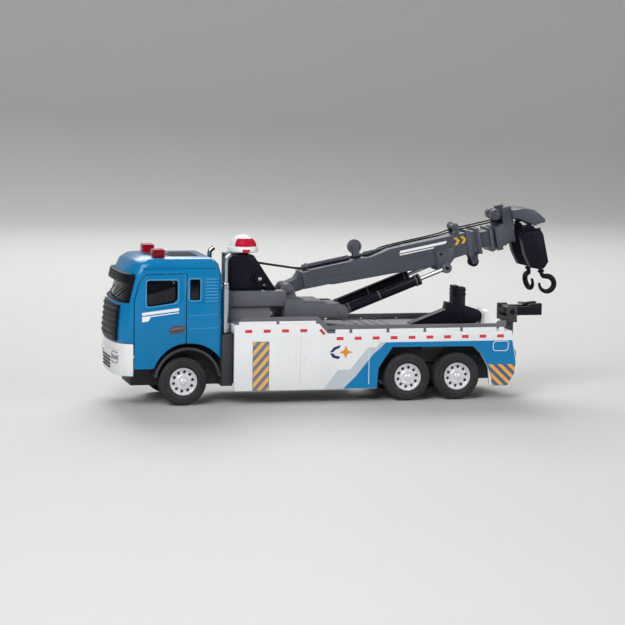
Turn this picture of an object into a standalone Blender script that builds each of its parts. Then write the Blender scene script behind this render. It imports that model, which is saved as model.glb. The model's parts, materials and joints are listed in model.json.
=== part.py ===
"""A toy tow truck: cab-over lorry, recovery body and slewing telescopic boom.

Sizes are in millimetres and are turned into metres as the meshes are made.
The front of the truck faces -X, its left side faces -Y, and z = 0 is the ground.
"""

import math

import bmesh
import bpy
from mathutils import Vector

MM = 0.001
LEFT, RIGHT = -1, 1
SIDES = (("left", LEFT), ("right", RIGHT))
GAP = 0.3

# Wheels and axles.
TYRE_R, TYRE_IN, TYRE_OUT = 13.0, 19.5, 29.0
RIM_R, TYRE_BORE_R = 7.5, 7.8
AXLE_R, AXLE_HALF, AXLE_HOLE_R = 1.0, 27.2, 1.35
FRONT_AXLE_X, MIDDLE_AXLE_X, REAR_AXLE_X = -90.0, 36.2, 64.8

# Cab.
CAB_HALF, CAB_WALL = 29.0, 1.5
CAB_LOW, CAB_ROOF = 20.3, 79.5
CAB_CORNER, CAB_CORNER_STEPS, CAB_ROUNDNESS = 11.0, 14, 2.8
# Height, front, half width and rear of the cab's outer surface.
CAB_LEVELS = (
    (14.0, -126.9, 29.0, -69.4),
    (40.0, -126.9, 29.0, -69.4),
    (55.0, -125.5, 29.0, -69.4),
    (71.0, -121.7, 29.0, -69.4),
    (77.0, -119.0, 28.2, -71.0),
    (79.5, -115.5, 25.5, -73.4),
)
DOOR_FRONT, DOOR_REAR, DOOR_TOP, DOOR_SEAM = -117.0, -88.8, 71.5, 0.35
ARCH_X, ARCH_R = -86.5, 21.0
BUMPER_TOP = 34.0

# Recovery body and deck.
BODY_HALF, BODY_WALL = 30.0, 1.6
BODY_FRONT, BODY_LOW = -62.3, 7.4
HIGH_TOP, LOW_TOP = 43.6, 38.1
STEP_FRONT, STEP_REAR = -14.9, -9.8
DECK_T, DECK_HALF = 0.9, 28.0
RAIL_IN, RAIL_OUT, RAIL_T = 26.4, 27.9, 2.2
HIGH_RAIL, LOW_RAIL = 47.4, 42.2

# Slewing superstructure.
SLEW_X = -14.5
SLAB_FRONT, SLAB_LOW, SLAB_TOP, SLAB_HALF = -63.0, 52.0, 60.3, 15.0
FRAME_LOW, FRAME_HALF, FRAME_REAR = 45.3, 17.0, 5.1
TOWER_LOW, TOWER_TOP, TOWER_HALF = 60.6, 79.7, 11.0
DRUM_X, DRUM_Z = -45.0, 67.0
BUTTON_X, BUTTON_LOW = -51.6, 80.9

# Boom, measured along it (u) and square to it (v) from its hinge.
HINGE_X, HINGE_Z, BOOM_TILT = -27.5, 60.5, math.radians(11.3)
BOOM_HALF, BOOM_LOW, BOOM_TOP, BOOM_END = 8.0, -2.0, 10.1, 113.5
LOW_BEAM = 8.0
LUG_U, LUG_V = 90.2, -6.4
HOOK_U, HOOK_V, HOOK_Y = 142.5, 8.5, 11.0
ROLLER_U, ROLLER_V = 126.1, 16.3
RING_U, RING_V = 43.2, 14.6
SNATCH_U, SNATCH_V = 109.8, -7.8
ROPE_D = 0.8

# Lift cylinders.
RAM_X, RAM_Z, RAM_Y = 0.5, 48.0, 12.6

# Underlift at the rear.
FOLD_X, FOLD_Z = 102.5, 22.5
FORK_Z = 46.4


# ---------------------------------------------------------------- finishes


def finish(name, colour, roughness, metallic=0.0, alpha=1.0):
    material = bpy.data.materials.new(name)
    material.use_nodes = True
    shader = material.node_tree.nodes["Principled BSDF"]
    shader.inputs["Base Color"].default_value = (*colour, 1.0)
    shader.inputs["Roughness"].default_value = roughness
    shader.inputs["Metallic"].default_value = metallic
    shader.inputs["Alpha"].default_value = alpha
    return material


# ------------------------------------------------------------ basic shapes


def as_object(mesh):
    """A closed bmesh, in millimetres, as an object in metres with its faces out."""
    bmesh.ops.scale(mesh, vec=(MM, MM, MM), verts=mesh.verts)
    bmesh.ops.recalc_face_normals(mesh, faces=mesh.faces)
    data = bpy.data.meshes.new("shape")
    mesh.to_mesh(data)
    mesh.free()
    made = bpy.data.objects.new("shape", data)
    bpy.context.scene.collection.objects.link(made)
    return made


def loft(rings):
    """Equal rings of points, bridged in order and capped at both ends."""
    mesh = bmesh.new()
    rows = [[mesh.verts.new(point) for point in ring] for ring in rings]
    count = len(rows[0])
    for row, following in zip(rows, rows[1:]):
        for k in range(count):
            n = (k + 1) % count
            mesh.faces.new((row[k], row[n], following[n], following[k]))
    mesh.faces.new(rows[0])
    mesh.faces.new(rows[-1])
    return as_object(mesh)


def prism(outline, y0, y1):
    """A side-view outline of (x, z) points, drawn out across the truck."""
    return loft([[(x, y, z) for x, z in outline] for y in (y0, y1)])


def box(x0, x1, y0, y1, z0, z1):
    return prism(((x0, z0), (x1, z0), (x1, z1), (x0, z1)), y0, y1)


def turned(profile, centre, axis, steps, closed=False):
    """A profile of (distance along the axis, radius) turned about an axis.

    An open profile starts and ends on the axis; a closed one makes a ring.
    """
    along = Vector(axis)
    first = along.orthogonal().normalized()
    second = along.cross(first)
    mesh = bmesh.new()
    rows = []
    for distance, radius in profile:
        middle = Vector(centre) + along * distance
        if radius == 0.0:
            rows.append([mesh.verts.new(middle)] * steps)
            continue
        row = []
        for k in range(steps):
            turn = 2 * math.pi * (k + 0.5) / steps
            spoke = first * math.cos(turn) + second * math.sin(turn)
            row.append(mesh.verts.new(middle + spoke * radius))
        rows.append(row)
    pairs = list(zip(rows, rows[1:]))
    if closed:
        pairs.append((rows[-1], rows[0]))
    for row, following in pairs:
        for k in range(steps):
            n = (k + 1) % steps
            corners = dict.fromkeys((row[k], row[n], following[n], following[k]))
            if len(corners) > 2:
                mesh.faces.new(tuple(corners))
    return as_object(mesh)


def rod(x, z, y0, y1, radius, steps=16):
    """A round bar across the truck."""
    profile = ((0.0, 0.0), (0.0, radius), (y1 - y0, radius), (y1 - y0, 0.0))
    return turned(profile, (x, y0, z), (0, 1, 0), steps)


def bar(start, end, radius, steps=16):
    """A round bar between two points."""
    run = Vector(end) - Vector(start)
    profile = ((0.0, 0.0), (0.0, radius), (run.length, radius), (run.length, 0.0))
    return turned(profile, start, run.normalized(), steps)


def swept(points, radii, sides):
    """A round bar of changing thickness along a path that stays in one x-z plane."""
    across = Vector((0, 1, 0))
    rings = []
    for k, point in enumerate(points):
        before = Vector(points[max(k - 1, 0)])
        after = Vector(points[min(k + 1, len(points) - 1)])
        normal = across.cross(after - before).normalized()
        ring = []
        for n in range(sides):
            turn = 2 * math.pi * n / sides
            spoke = normal * math.cos(turn) + across * math.sin(turn)
            ring.append(Vector(point) + spoke * radii[k])
        rings.append(ring)
    return loft(rings)


def arc(x, z, radius, start, end, steps):
    """Points of an arc in side view, its angles in degrees."""
    points = []
    for k in range(steps + 1):
        turn = math.radians(start + (end - start) * k / max(steps, 1))
        points.append((x + radius * math.cos(turn), z + radius * math.sin(turn)))
    return points


# ------------------------------------------------------- joining and naming


def combine(target, tools, operation):
    """Joins or cuts with each tool in turn, then discards the tool."""
    for tool in tools:
        step = target.modifiers.new("combine", "BOOLEAN")
        step.operation = operation
        step.solver = "EXACT"
        step.object = tool
        graph = bpy.context.evaluated_depsgraph_get()
        made = bpy.data.meshes.new_from_object(target.evaluated_get(graph))
        target.modifiers.clear()
        target.data = made
        bpy.data.objects.remove(tool)
    return target


def join(target, *tools):
    return combine(target, tools, "UNION")


def cut(target, *tools):
    return combine(target, tools, "DIFFERENCE")


def holder(name, x, z, tilt=0.0, y=0.0, parent=None):
    """An empty on a joint's axis. Pieces modelled about it are parented to it."""
    empty = bpy.data.objects.new(name, None)
    bpy.context.scene.collection.objects.link(empty)
    empty.location = (x * MM, y * MM, z * MM)
    empty.rotation_euler = (0.0, -tilt, 0.0)
    empty.parent = parent
    return empty


def piece(made, name, material, parent=None):
    made.name = name
    made.data.name = name
    made.data.materials.clear()
    made.data.materials.append(material)
    made.parent = parent
    made.data.shade_smooth()
    made.data.set_sharp_from_angle(angle=math.radians(35))
    return made


# -------------------------------------------------------- wheels and drive


def axle_set(place, x, steel, silver, tyre):
    piece(rod(x, TYRE_R, -AXLE_HALF, AXLE_HALF, AXLE_R, 12), f"{place}_axle", steel)
    bore = AXLE_R + 0.1
    rim = (
        (27.4, 0.0), (27.4, bore), (20.5, bore), (20.5, 6.4), (27.9, RIM_R),
        (28.7, RIM_R), (28.0, 6.3), (27.6, 3.4), (28.9, 2.8), (28.9, 0.0),
    )
    tread = (
        (TYRE_IN, TYRE_BORE_R), (TYRE_IN, 11.7), (TYRE_IN + 1.1, TYRE_R),
        (TYRE_OUT - 1.1, TYRE_R), (TYRE_OUT, 11.7), (TYRE_OUT, TYRE_BORE_R),
    )
    for side, sign in SIDES:
        outward, centre = (0, sign, 0), (x, 0, TYRE_R)
        piece(turned(rim, centre, outward, 16), f"{place}_rim_{side}", silver)
        piece(turned(tread, centre, outward, 28, closed=True), f"{place}_tyre_{side}", tyre)


def gear_outline(x, z, teeth, module, first):
    """A spur gear's outline: four corners a tooth, the first tooth at an angle."""
    pitch = teeth * module / 2
    root, tip = pitch - 1.15 * module, pitch + 0.8 * module
    outline = []
    for k in range(teeth):
        middle = first + 360.0 * k / teeth
        for radius, share in ((root, -0.30), (tip, -0.13), (tip, 0.13), (root, 0.30)):
            outline += arc(x, z, radius, middle + share * 360.0 / teeth, 0, 0)
    return outline


def drive_train(dark, nylon, steel):
    """Inertia drive on the middle axle: gear, flywheel with its pinion, casing."""
    module, gear_teeth, pinion_teeth = 0.5, 16, 8
    shaft_x = MIDDLE_AXLE_X + module * (gear_teeth + pinion_teeth) / 2 + 0.1
    gear = prism(gear_outline(MIDDLE_AXLE_X, TYRE_R, gear_teeth, module, 0.0), -2.4, 2.4)
    gear = cut(gear, rod(MIDDLE_AXLE_X, TYRE_R, -4, 4, AXLE_R + 0.1, 12))
    piece(gear, "drive_gear", nylon)
    half_tooth = 180.0 / pinion_teeth
    pinion = gear_outline(shaft_x, TYRE_R, pinion_teeth, module, 180.0 + half_tooth)
    flywheel = join(
        prism(pinion, -2.1, 2.1),
        rod(shaft_x, TYRE_R, 3.4, 5.9, 5.0, 20),
        rod(shaft_x, TYRE_R, -6.3, 6.3, 0.8, 10),
    )
    piece(flywheel, "flywheel", steel)
    casing = cut(
        box(29.0, 49.7, -8.1, 8.1, 5.4, 19.4),
        box(30.4, 48.3, -6.7, 6.7, 6.8, 25.0),
        rod(MIDDLE_AXLE_X, TYRE_R, -10, 10, AXLE_HOLE_R),
    )
    piece(casing, "drive_casing", dark)


def chassis(dark):
    """Plastic base: beam, cab bulkhead, front mudguards and the rear clevis."""
    beam = box(-116.5, 98.4, -14, 14, 9.5, 20.9)
    beam = join(beam, box(-68.7, BODY_FRONT - GAP, -27, 27, 10, 38))
    for sign in (LEFT, RIGHT):
        outer = arc(ARCH_X - 1.0, TYRE_R, 18.6, 8, 172, 12)
        inner = arc(ARCH_X - 1.0, TYRE_R, 17.2, 172, 8, 12)
        low, high = sorted((sign * 15.0, sign * 28.3))
        guard = prism(outer + inner, low, high)
        low, high = sorted((sign * 13.0, sign * 16.0))
        web = prism(arc(ARCH_X - 1.0, TYRE_R, 18.0, 20, 160, 8), low, high)
        low, high = sorted((sign * 4.4, sign * 7.0))
        ear = prism(
            [(97.0, 12.0), (106.0, 20.0), *arc(FOLD_X, FOLD_Z, 3.6, 0, 150, 6), (97.0, 20.5)],
            low, high,
        )
        beam = join(beam, web, guard, ear)
    beam = cut(
        beam,
        *(rod(x, TYRE_R, -20, 20, AXLE_HOLE_R) for x in (FRONT_AXLE_X, MIDDLE_AXLE_X, REAR_AXLE_X)),
        box(28.6, 50.1, -8.5, 8.5, 0, 30),
        box(-58, 24, -11, 11, 0, 19.2),
    )
    piece(beam, "chassis", dark)


# --------------------------------------------------------------------- cab


def cab_section(z):
    """Front, half width and rear of the cab's outer surface at a height."""
    for (z0, *low), (z1, *high) in zip(CAB_LEVELS, CAB_LEVELS[1:]):
        if z <= z1:
            share = (z - z0) / (z1 - z0)
            return [a + (b - a) * share for a, b in zip(low, high)]
    return list(CAB_LEVELS[-1][1:])


def cab_ring(z, inset):
    """The cab's plan at a height: a bowed front with round corners, a flat back."""
    front, half, rear = cab_section(z)
    front, half, rear = front + inset, half - inset, rear - inset
    power = 2 / CAB_ROUNDNESS
    ring = []
    for step in range(CAB_CORNER_STEPS + 1):
        turn = math.pi * step / CAB_CORNER_STEPS
        across, ahead = math.cos(turn), math.sin(turn)
        y = -half * math.copysign(abs(across) ** power, across)
        ring.append((front + CAB_CORNER * (1 - ahead**power), y, z))
    round_off = 1.5
    for x, y in ((0, half - round_off), (0, round_off - half)):
        corner = (rear, y, z)
        edge = (rear - round_off, math.copysign(half, y), z)
        ring += [edge, corner] if y > 0 else [corner, edge]
    return ring


def cab_solid(inset, low, high):
    heights = [low, *(level[0] for level in CAB_LEVELS if low < level[0] < high), high]
    return loft([cab_ring(z, inset) for z in heights])


def door_outline(seam):
    """The door in side view, made larger by the seam for its opening."""
    front, rear, top = DOOR_FRONT - seam, DOOR_REAR + seam, DOOR_TOP + seam
    radius = ARCH_R + GAP - 3 * seam
    arch = arc(ARCH_X, TYRE_R, radius, 159.0, 96.5, 6)
    foot = CAB_LOW - (5.0 if seam else 0.0)
    lower = [(front, foot), (arch[0][0] - 0.4, foot)]
    return [
        *lower, *arch[:-1], (rear, arch[-1][1]), (rear, top),
        (front + 6.6, top), (front + 2.2, top - 5.2), (front, 57.0),
    ]


def window_outline(margin):
    """The door window, its sill falling towards the front, its corners cut."""
    front, rear = -110.9 + margin, -93.2 - margin
    sill_front, sill_rear, head = 53.6 + margin, 55.8 + margin, 68.6 - margin
    return (
        (front, sill_front + 1.6), (front + 1.4, sill_front), (rear - 3.0, sill_rear - 0.4),
        (rear, sill_rear + 2.4), (rear, head - 1.6), (rear - 1.6, head),
        (front + 1.8, head), (front, head - 1.8),
    )


def cab(blue, black, white, glass, red):
    quarter_window = (-87.3, -80.9, 57.0, 69.0)
    shell = cut(cab_solid(0.0, CAB_LOW, CAB_ROOF), cab_solid(CAB_WALL, 15.0, CAB_ROOF - CAB_WALL))
    shell = cut(
        shell,
        rod(ARCH_X, TYRE_R, -40, 40, ARCH_R, 40),
        box(-140, DOOR_FRONT - DOOR_SEAM, -40, 40, 10, BUMPER_TOP + GAP),
        box(-140, -113, -27.3, 27.3, 56.5, 70.0),
    )
    x0, x1, z0, z1 = quarter_window
    for side, sign in SIDES:
        low, high = sorted((sign * 26.0, sign * 32.0))
        shell = cut(shell, prism(door_outline(DOOR_SEAM), low, high), box(x0, x1, low, high, z0, z1))
        hinge = holder(f"door_hinge_{side}", DOOR_FRONT, 45.0, y=sign * CAB_HALF)
        inner, outer = sorted((sign * (CAB_HALF - CAB_WALL), sign * CAB_HALF))
        door = prism(door_outline(0.0), inner, outer)
        door = cut(door, prism(window_outline(0.0), low, high))
        low, high = sorted((sign * (CAB_HALF - CAB_WALL - GAP), sign * (CAB_HALF - CAB_WALL - GAP - 0.8)))
        pane = prism(window_outline(-1.4), low, high)
        for made, name, material in ((door, "cab_door", blue), (pane, "door_glass", glass)):
            hold(piece(made, f"{name}_{side}", material), hinge)
    piece(shell, "cab_shell", blue)

    lining = cut(cab_solid(1.8, 54.5, 77.6), cab_solid(2.6, 50.0, 76.8))
    for sign in (LEFT, RIGHT):
        low, high = sorted((sign * 18.0, sign * 35.0))
        lining = cut(lining, box(DOOR_FRONT - 0.8, DOOR_REAR + 0.9, low, high, 50, 74.5))
    piece(lining, "cab_glazing", glass)

    bumper = cut(
        cab_solid(-0.5, 16.6, BUMPER_TOP), cab_solid(2.4, 14.1, 40.0),
        box(DOOR_FRONT - DOOR_SEAM - GAP, -60, -40, 40, 10, 50),
    )
    piece(bumper, "bumper", white)
    front_face = (
        ("grille", -1.15, 35.0, 54.6, 21.5),
        ("sun_visor", -2.1, 66.8, 71.7, 27.4),
    )
    for name, inset, low, high, half in front_face:
        panel = cut(
            cab_solid(inset, low, high), cab_solid(-GAP, low - 3, high + 3),
            box(-116.0, -60, -40, 40, low - 5, high + 5),
            box(-140, -60, -40, -half, low - 5, high + 5),
            box(-140, -60, half, 40, low - 5, high + 5),
        )
        piece(panel, name, black)

    lamps = join(
        box(-104.2, -100.4, -14, 14, CAB_ROOF + GAP, CAB_ROOF + 0.9),
        *(box(-105.6, -99.0, y - 3.5, y + 3.5, CAB_ROOF + GAP, 84.2) for y in (-16.0, 16.0)),
    )
    piece(lamps, "roof_beacons", red)


def hold(made, hinge):
    """Parents a piece modelled in place to its hinge's empty, without moving it."""
    made.parent = hinge
    made.matrix_parent_inverse = hinge.matrix_basis.inverted()
    return made


def cab_inside(black):
    """One dark moulding: floor, dashboard with steering wheel, and two seats."""
    made = join(
        box(-120.5, -72.5, -22.0, 22.0, 32.2, 33.8),
        box(-120.5, -112.5, -22.0, 22.0, 33.0, 53.0),
    )
    for sign in (LEFT, RIGHT):
        low, high = sorted((sign * 4.0, sign * 20.0))
        made = join(
            made,
            prism(
                ((-99, 33), (-99, 42), (-87, 41), (-84.5, 62), (-81, 62), (-81, 33)),
                low, high,
            ),
        )
    wheel = turned(
        [(0.5 * math.cos(t), 5.2 + 0.5 * math.sin(t)) for t in (0.5, 2.1, 3.7, 5.2)],
        (-108.5, -12.0, 51.5), Vector((0.75, 0, 0.66)).normalized(), 16, closed=True,
    )
    spokes = box(-109.2, -107.8, -17.2, -6.8, 51.0, 52.0)
    column = bar((-115.0, -12.0, 46.0), (-108.3, -12.0, 51.8), 0.9, 8)
    piece(join(made, column, spokes, wheel), "cab_interior", black)


def exhausts(chrome):
    """Two upright stacks with swept tops, joined by a cross pipe at their feet."""
    x, reach = -65.9, 22.0
    made = rod(x, 41.0, -reach, reach, 1.1, 12)
    for sign in (LEFT, RIGHT):
        y = sign * reach
        bend = [(x, y, 64.0), (x, y, 76.5), (x + 0.5, y, 78.6), (x + 2.4, y, 81.2)]
        made = join(
            made,
            bar((x, y, 38.3), (x, y, 66.0), 2.15, 16),
            swept(bend, [1.5] * len(bend), 12),
        )
    piece(made, "exhaust_stacks", chrome)


# ---------------------------------------------------- body, deck and inside


def body_outline(inset):
    """Side view of the recovery body, shrunk by a wall for its hollow."""
    foot = BODY_LOW - (10.0 if inset else 0.0)
    i = inset
    return (
        (BODY_FRONT + i, foot), (BODY_FRONT + i, HIGH_TOP - i), (STEP_FRONT - i / 2, HIGH_TOP - i),
        (STEP_REAR - i / 2, LOW_TOP - i), (95.9 - i, LOW_TOP - i), (98.6 - i, 20.4),
        (97.8 - i, 14.0), (93.8 - i, foot),
    )


def recovery_body(white):
    shell = cut(
        prism(body_outline(0.0), -BODY_HALF, BODY_HALF),
        prism(body_outline(BODY_WALL), BODY_WALL - BODY_HALF, BODY_HALF - BODY_WALL),
    )
    hump = prism(
        ((86.2, 37.6), (86.6, 44.8), *arc(88.9, 44.9, 2.3, 150, 60, 3), (94.6, 41.4), (95.4, 37.6)),
        -9, 9,
    )
    arches = (
        (18.4, 0), (18.4, 11.4), (19.0, 18.4), (22.0, 23.3), (27.0, 30.2),
        (73.5, 29.9), (77.7, 25.8), (82.2, 18.0), (84.2, 0),
    )
    shell = cut(
        join(shell, hump),
        prism(arches, -40, 40),
        box(90, 110, -14.5, 14.5, 0, 27.5),
        bar((SLEW_X, 0, 30), (SLEW_X, 0, 50), 3.2),
        box(-70, -58, -28.0, 28.0, 0, 38.6),
    )
    piece(shell, "body_shell", white)


def rail_outline(thick):
    """The handrail in side view, over the high deck, down the step and aft."""
    high, low = HIGH_RAIL, LOW_RAIL
    upper = [(-57.6, high), (-15.2, high), (-9.6, low), (92.8, low)]
    lower = [(92.8, low - thick), (-10.4, low - thick), (-16.0, high - thick), (-56.8, high - thick)]
    foot = HIGH_TOP + GAP
    return [*upper, *lower, (-58.4, foot), (-60.4, foot)]


def deck(grey):
    """Deck plate with its handrails, the base box and the slewing ring."""
    base = GAP
    top = base + DECK_T
    plate = prism(
        (
            (-61.8, HIGH_TOP + base), (STEP_FRONT - 0.1, HIGH_TOP + base),
            (STEP_REAR + 0.2, LOW_TOP + base), (85.8, LOW_TOP + base), (85.8, LOW_TOP + top),
            (STEP_REAR + 0.6, LOW_TOP + top), (STEP_FRONT + 0.3, HIGH_TOP + top), (-61.8, HIGH_TOP + top),
        ),
        -DECK_HALF, DECK_HALF,
    )
    made = join(
        plate,
        box(-61.5, -38.7, -13, 13, HIGH_TOP + 0.6, SLAB_LOW - GAP),
        bar((SLEW_X, 0, HIGH_TOP + 0.6), (SLEW_X, 0, FRAME_LOW - GAP), 11.0, 28),
    )
    for sign in (LEFT, RIGHT):
        low, high = sorted((sign * RAIL_IN, sign * RAIL_OUT))
        made = join(made, prism(rail_outline(RAIL_T), low, high))
        posts = [(x, HIGH_TOP, HIGH_RAIL) for x in (-37.8, -19.8)]
        posts += [(x, LOW_TOP, LOW_RAIL) for x in (4.7, 25.2, 46.2, 66.9)]
        for x, foot, head in posts:
            made = join(made, box(x - 0.9, x + 0.9, low, high, foot + 0.6, head - 0.5))
        end = prism(
            ((84.4, LOW_TOP + 0.5), (86.0, LOW_TOP + 0.4), (93.0, LOW_TOP + 2.6), (93.0, 43.6), (88.4, 43.6)),
            low, high,
        )
        made = join(made, end)
    made = cut(made, bar((SLEW_X, 0, 30), (SLEW_X, 0, 60), 3.2))
    piece(made, "deck", grey)


def sound_module(green):
    """Light and sound unit inside the body: circuit case with its speaker."""
    made = join(box(-48, -20, -10, 10, 21.4, 31.0), bar((-34, 0, 30.5), (-34, 0, 34.5), 8.5, 20))
    piece(made, "sound_module", green)


def rear_mast(black):
    """Upright post on its cranked bracket, at the back of the deck."""
    foot = LOW_TOP + DECK_T + 0.6
    arm = prism(
        [(44.0, foot), (82.0, foot), *arc(82.6, 43.8, 3.7, -80, 70, 6), (74.5, 50.2), (66.0, 51.6), (65.2, 47.6)],
        -4.0, 4.0,
    )
    made = join(arm, box(69.2, 76.6, -3.4, 3.4, 46.0, 60.0), box(69.2, 72.6, -3.4, 3.4, 59.0, 61.0))
    piece(made, "rear_mast", black)


# ------------------------------------------------------------ superstructure


def slewing_frame(grey):
    tail = [
        (-31.2, FRAME_LOW), (-31.2, 55.8), (-20.8, 55.8), (-20.8, 53.7), (-7.2, 53.7),
        (-7.2, 52.4), *arc(RAM_X, RAM_Z, FRAME_REAR - RAM_X, 75, -25, 6), (FRAME_REAR - 1.2, FRAME_LOW),
    ]
    made = prism(tail, -FRAME_HALF, FRAME_HALF)
    made = join(made, box(SLAB_FRONT, -30.2, -SLAB_HALF, SLAB_HALF, SLAB_LOW, SLAB_TOP))
    for sign in (LEFT, RIGHT):
        low, high = sorted((sign * 5.2, sign * 9.0))
        lug = prism(
            [(-34.0, 55.0), (-31.6, SLAB_TOP), *arc(HINGE_X, HINGE_Z, 3.2, 160, 10, 6), (-22.6, 55.0)],
            low, high,
        )
        made = join(made, lug)
        low, high = sorted((sign * (RAM_Y - 3.1), sign * (RAM_Y + 3.1)))
        made = cut(made, box(-5.0, 12.0, low, high, 40, 60))
    made = cut(made, box(-33.5, -20, -5.2, 5.2, 56.6, 64))
    made = join(
        made,
        bar((SLEW_X, 0, 35.0), (SLEW_X, 0, 47.0), 2.8),
        rod(HINGE_X, HINGE_Z, -9.9, 9.9, 1.2, 12),
        *(rod(HINGE_X, HINGE_Z, y, y + 1.2, 2.1, 12) for y in (-10.0, 8.8)),
    )
    piece(made, "slewing_frame", grey)


def winch(black, white):
    tower = prism(
        ((-61.3, TOWER_LOW), (-61.3, TOWER_TOP), (-47.7, TOWER_TOP), (-43.0, 72.7), (-34.9, TOWER_LOW)),
        -TOWER_HALF, TOWER_HALF,
    )
    inner = TOWER_HALF - 2.2
    tower = cut(
        tower,
        box(-57.5, -30, -inner, inner, 62.2, 77.4),
        prism(((-42.6, 58), (-42.6, 64.5), (-40.9, 64.5), (-40.9, 58)), -20, 20),
        rod(DRUM_X, DRUM_Z, -20, 20, 2.0),
        bar((BUTTON_X, 0, 70), (BUTTON_X, 0, 90), 3.4),
    )
    piece(tower, "winch_tower", black)
    spool = (
        (0.4, 0.0), (0.4, 3.9), (1.2, 3.9), (1.5, 2.6), (7.0, 2.6), (7.3, 3.9), (8.2, 3.9),
        (8.2, 1.65), (11.3, 1.65), (11.3, 2.9), (13.4, 2.7), (13.4, 1.0), (14.2, 0.9), (14.2, 0.0),
    )
    for side, sign in SIDES:
        piece(turned(spool, (DRUM_X, 0, DRUM_Z), (0, sign, 0), 16), f"winch_drum_{side}", black)
    low = BUTTON_LOW
    dome = (
        (75.5, 0.0), (75.5, 2.9), (low, 2.9), (low, 8.2), (low + 0.6, 8.6), (low + 2.4, 8.6),
        (low + 3.4, 8.0), (low + 7.0, 5.6), (low + 9.2, 2.4), (low + 9.6, 0.0),
    )
    piece(turned(dome, (BUTTON_X, 0, 0), (0, 0, 1), 24), "light_button", white)


# -------------------------------------------------------------------- boom


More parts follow.
